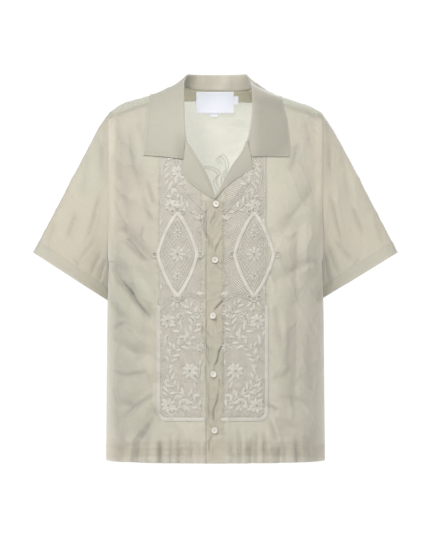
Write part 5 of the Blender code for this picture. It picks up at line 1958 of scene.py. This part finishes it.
for side, name in SIDE_NAME.items():
    ground = Ground(side, surface_of(fronts[side]))
    keep(side, make_sheet(f"border_{name}_satin", border_grid(ground), satin, SATIN_WALL),
         "ivory_satin", f"border_{name}")
    keep(side, make_sheet(f"field_{name}_stitches", field_grid(ground), embroidered_ground, 0.0002,
                          seams=(INNER_EDGE[side],)), "ivory_cord")
    keep(side, make_sheet(f"medallion_{name}_frame", frame_grid(ground), frame_satin, SATIN_WALL),
         "ivory_satin", f"medallion_{name}")
    for first_word, sew, parts in STITCHED_WORKS:
        for work, (last_word, thread) in zip(sew(ground), parts):
            piece = work.piece(f"{first_word}_{name}_{last_word}", thread)
            if thread is leaf_thread:
                add_wall(piece, 0.0003, -1)
            keep(side, piece, "ivory_satin" if thread is leaf_thread else "ivory_cord")

# Tonal spray on the inner side of the back

back_surface = surface_of(back)
tonal = Work()


def tonal_cord(points, radius):
    line = []
    for x, z in curve_spots(points, 0.003):
        point, normal = face_at(back_surface, x, z, 0.02)
        if point is not None:
            line.append((point + normal * 0.0003, normal))
    tonal.tube(line, radius)


for stem in TONAL_STEMS:
    for beside in (0.0, 0.0052):
        tonal_cord([(x + beside, z + 0.6 * beside) for x, z in stem], 0.00045)
for x, z, angle in TONAL_LEAVES:
    ahead = heading(angle) * 0.015
    beside = Vector((-ahead.y, ahead.x)) * 0.3
    start = Vector((x, z))
    for lean in (1, -1):
        tonal_cord((start, start + ahead * 0.45 + beside * lean, start + ahead), 0.0004)
finish_piece(tonal.piece("back_tonal_spray", tonal_thread), "sheer_cloth")

# Buttons, their thread and their buttonholes


def turned_button():
    """A disc with a raised rim, a dished middle and four holes, made flat at the origin."""
    bpy.ops.mesh.primitive_cylinder_add(vertices=56, radius=BUTTON_RADIUS, depth=BUTTON_HEIGHT,
                                        end_fill_type="NGON")
    disc = bpy.context.object
    bpy.ops.object.mode_set(mode="EDIT")
    bpy.ops.mesh.select_all(action="DESELECT")
    bpy.ops.mesh.select_mode(type="FACE")
    bpy.ops.object.mode_set(mode="OBJECT")
    for face in disc.data.polygons:
        face.select = face.normal.z > 0.9
    bpy.ops.object.mode_set(mode="EDIT")
    bpy.ops.mesh.inset(thickness=0.0010)
    bpy.ops.mesh.inset(thickness=0.0007)
    bpy.ops.transform.translate(value=(0, 0, -0.0006))
    bpy.ops.object.mode_set(mode="OBJECT")
    bevel = disc.modifiers.new("Rim", "BEVEL")
    bevel.width = 0.00035
    bevel.segments = 3
    bevel.limit_method = "ANGLE"
    bpy.ops.object.modifier_apply(modifier="Rim")
    for number in range(4):
        angle = math.pi / 2 * number + math.pi / 4
        place = (0.0014 * math.cos(angle), 0.0014 * math.sin(angle), 0)
        bpy.ops.mesh.primitive_cylinder_add(vertices=16, radius=0.0006, depth=0.01, location=place)
        drill = bpy.context.object
        bpy.ops.object.select_all(action="DESELECT")
        disc.select_set(True)
        bpy.context.view_layer.objects.active = disc
        cut = disc.modifiers.new("Hole", "BOOLEAN")
        cut.object = drill
        cut.operation = "DIFFERENCE"
        bpy.ops.object.modifier_apply(modifier="Hole")
        bpy.data.objects.remove(drill)
    bpy.ops.object.shade_smooth_by_angle(angle=math.radians(35))
    disc.data.materials.append(pearl)
    return disc


left_surface = surface_of(fronts[LEFT])
button = turned_button()
threads, holes = Work(), Work()
for number, (x, z) in enumerate(BUTTON_PLACES, start=1):
    spot, normal = face_at(left_surface, x, z)
    turn = Vector((0, 0, 1)).rotation_difference(normal)
    highest = 0.0
    for rim in range(12):
        start = spot + turn @ heading(2 * math.pi * rim / 12).to_3d() * BUTTON_RADIUS + normal * 0.005
        hit, _, _, _ = left_surface.ray_cast(start, -normal)
        if hit:
            highest = max(highest, (hit - spot).dot(normal))
    centre = spot + normal * (highest + BUTTON_HEIGHT / 2 + 0.0003)
    made = add_object(f"pearl_button_{number}", button.data.copy())
    for vertex in made.data.vertices:
        vertex.co = centre + turn @ vertex.co
    finish_piece(made, "pearl", f"button_{number}")
    for offset in (-0.00099, 0.00099):
        line = []
        for step in range(9):
            share = step / 8 * 2 - 1
            height = 0.0008 - 0.0016 * abs(share) ** 6
            line.append((centre + turn @ Vector((offset, share * 0.00125, height)), normal))
        threads.tube(line, 0.00033, 6)
    loop = []
    for step in range(40):
        angle = math.tau * step / 40
        hole_z = z + math.copysign(0.0068, math.sin(angle)) * abs(math.sin(angle)) ** 0.4
        point, side_normal = face_at(left_surface, x + 0.0011 * math.cos(angle), hole_z)
        loop.append((point + side_normal * 0.00005, side_normal))
    holes.tube(loop, 0.00045, 5, closed=True)
bpy.data.objects.remove(button)
finish_piece(threads.piece("button_threads", button_thread), "ivory_cord")
finish_piece(holes.piece("buttonholes", sewing_thread), "sheer_cloth")

# Each side's embroidered pieces are listed, and the list is not used

for side, name in SIDE_NAME.items():
    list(embroidered[side])

# Camera, floor and light

camera_data = bpy.data.cameras.new("camera")
camera_data.lens = CAMERA_LENS
camera_data.sensor_width = 36.0
camera_data.clip_end = 60.0
camera = add_object("camera", camera_data)
camera.location = CAMERA_PLACE
camera.rotation_euler = (math.pi / 2, 0, 0)
bpy.context.scene.camera = camera

bpy.ops.mesh.primitive_circle_add(vertices=96, radius=2.2, fill_type="NGON", location=(0, 0, FLOOR_Z))
floor = bpy.context.object
floor.name = "floor"
floor_paint, floor_nodes, floor_shader = new_material("floor paint", 0.8, specular=0.1)
floor_tone = floor_nodes.place(patches, "Value", Vector=floor_nodes.spot(), Scale=1.2)
floor_colour = floor_nodes.mix(floor_tone, (0.86, 0.86, 0.85), (0.88, 0.88, 0.87))
floor_nodes.feed(floor_shader, {"Base Color": floor_colour})
floor.data.materials.append(floor_paint)

world = bpy.data.worlds.new("studio")
bpy.context.scene.world = world
world.use_nodes = True
air = Nodes(world.node_tree)
seen = air.add("LightPath", output="Is Camera Ray")
air.feed(world.node_tree.nodes["Background"].inputs,
         {"Color": (1, 1, 1), "Strength": air.math("MULTIPLY_ADD", seen, 0.56, 0.48)})
for name, place, size, power in (
    ("key_light", (-1.1, -2.5, 2.35), 1.0, 122),
    ("fill_light", (1.5, -3.7, 0.4), 2.2, 32),
    ("back_light", (0.9, 3.4, 1.4), 2.0, 62),
):
    lamp = bpy.data.lights.new(name, "AREA")
    lamp.shape = "DISK"
    lamp.size = size
    lamp.energy = power
    holder = add_object(name, lamp)
    holder.location = place
    holder.rotation_mode = "QUATERNION"
    holder.rotation_quaternion = (Vector((0, 0, -0.35)) - Vector(place)).to_track_quat("-Z", "Y")
bpy.context.scene.view_settings.view_transform = "Standard"
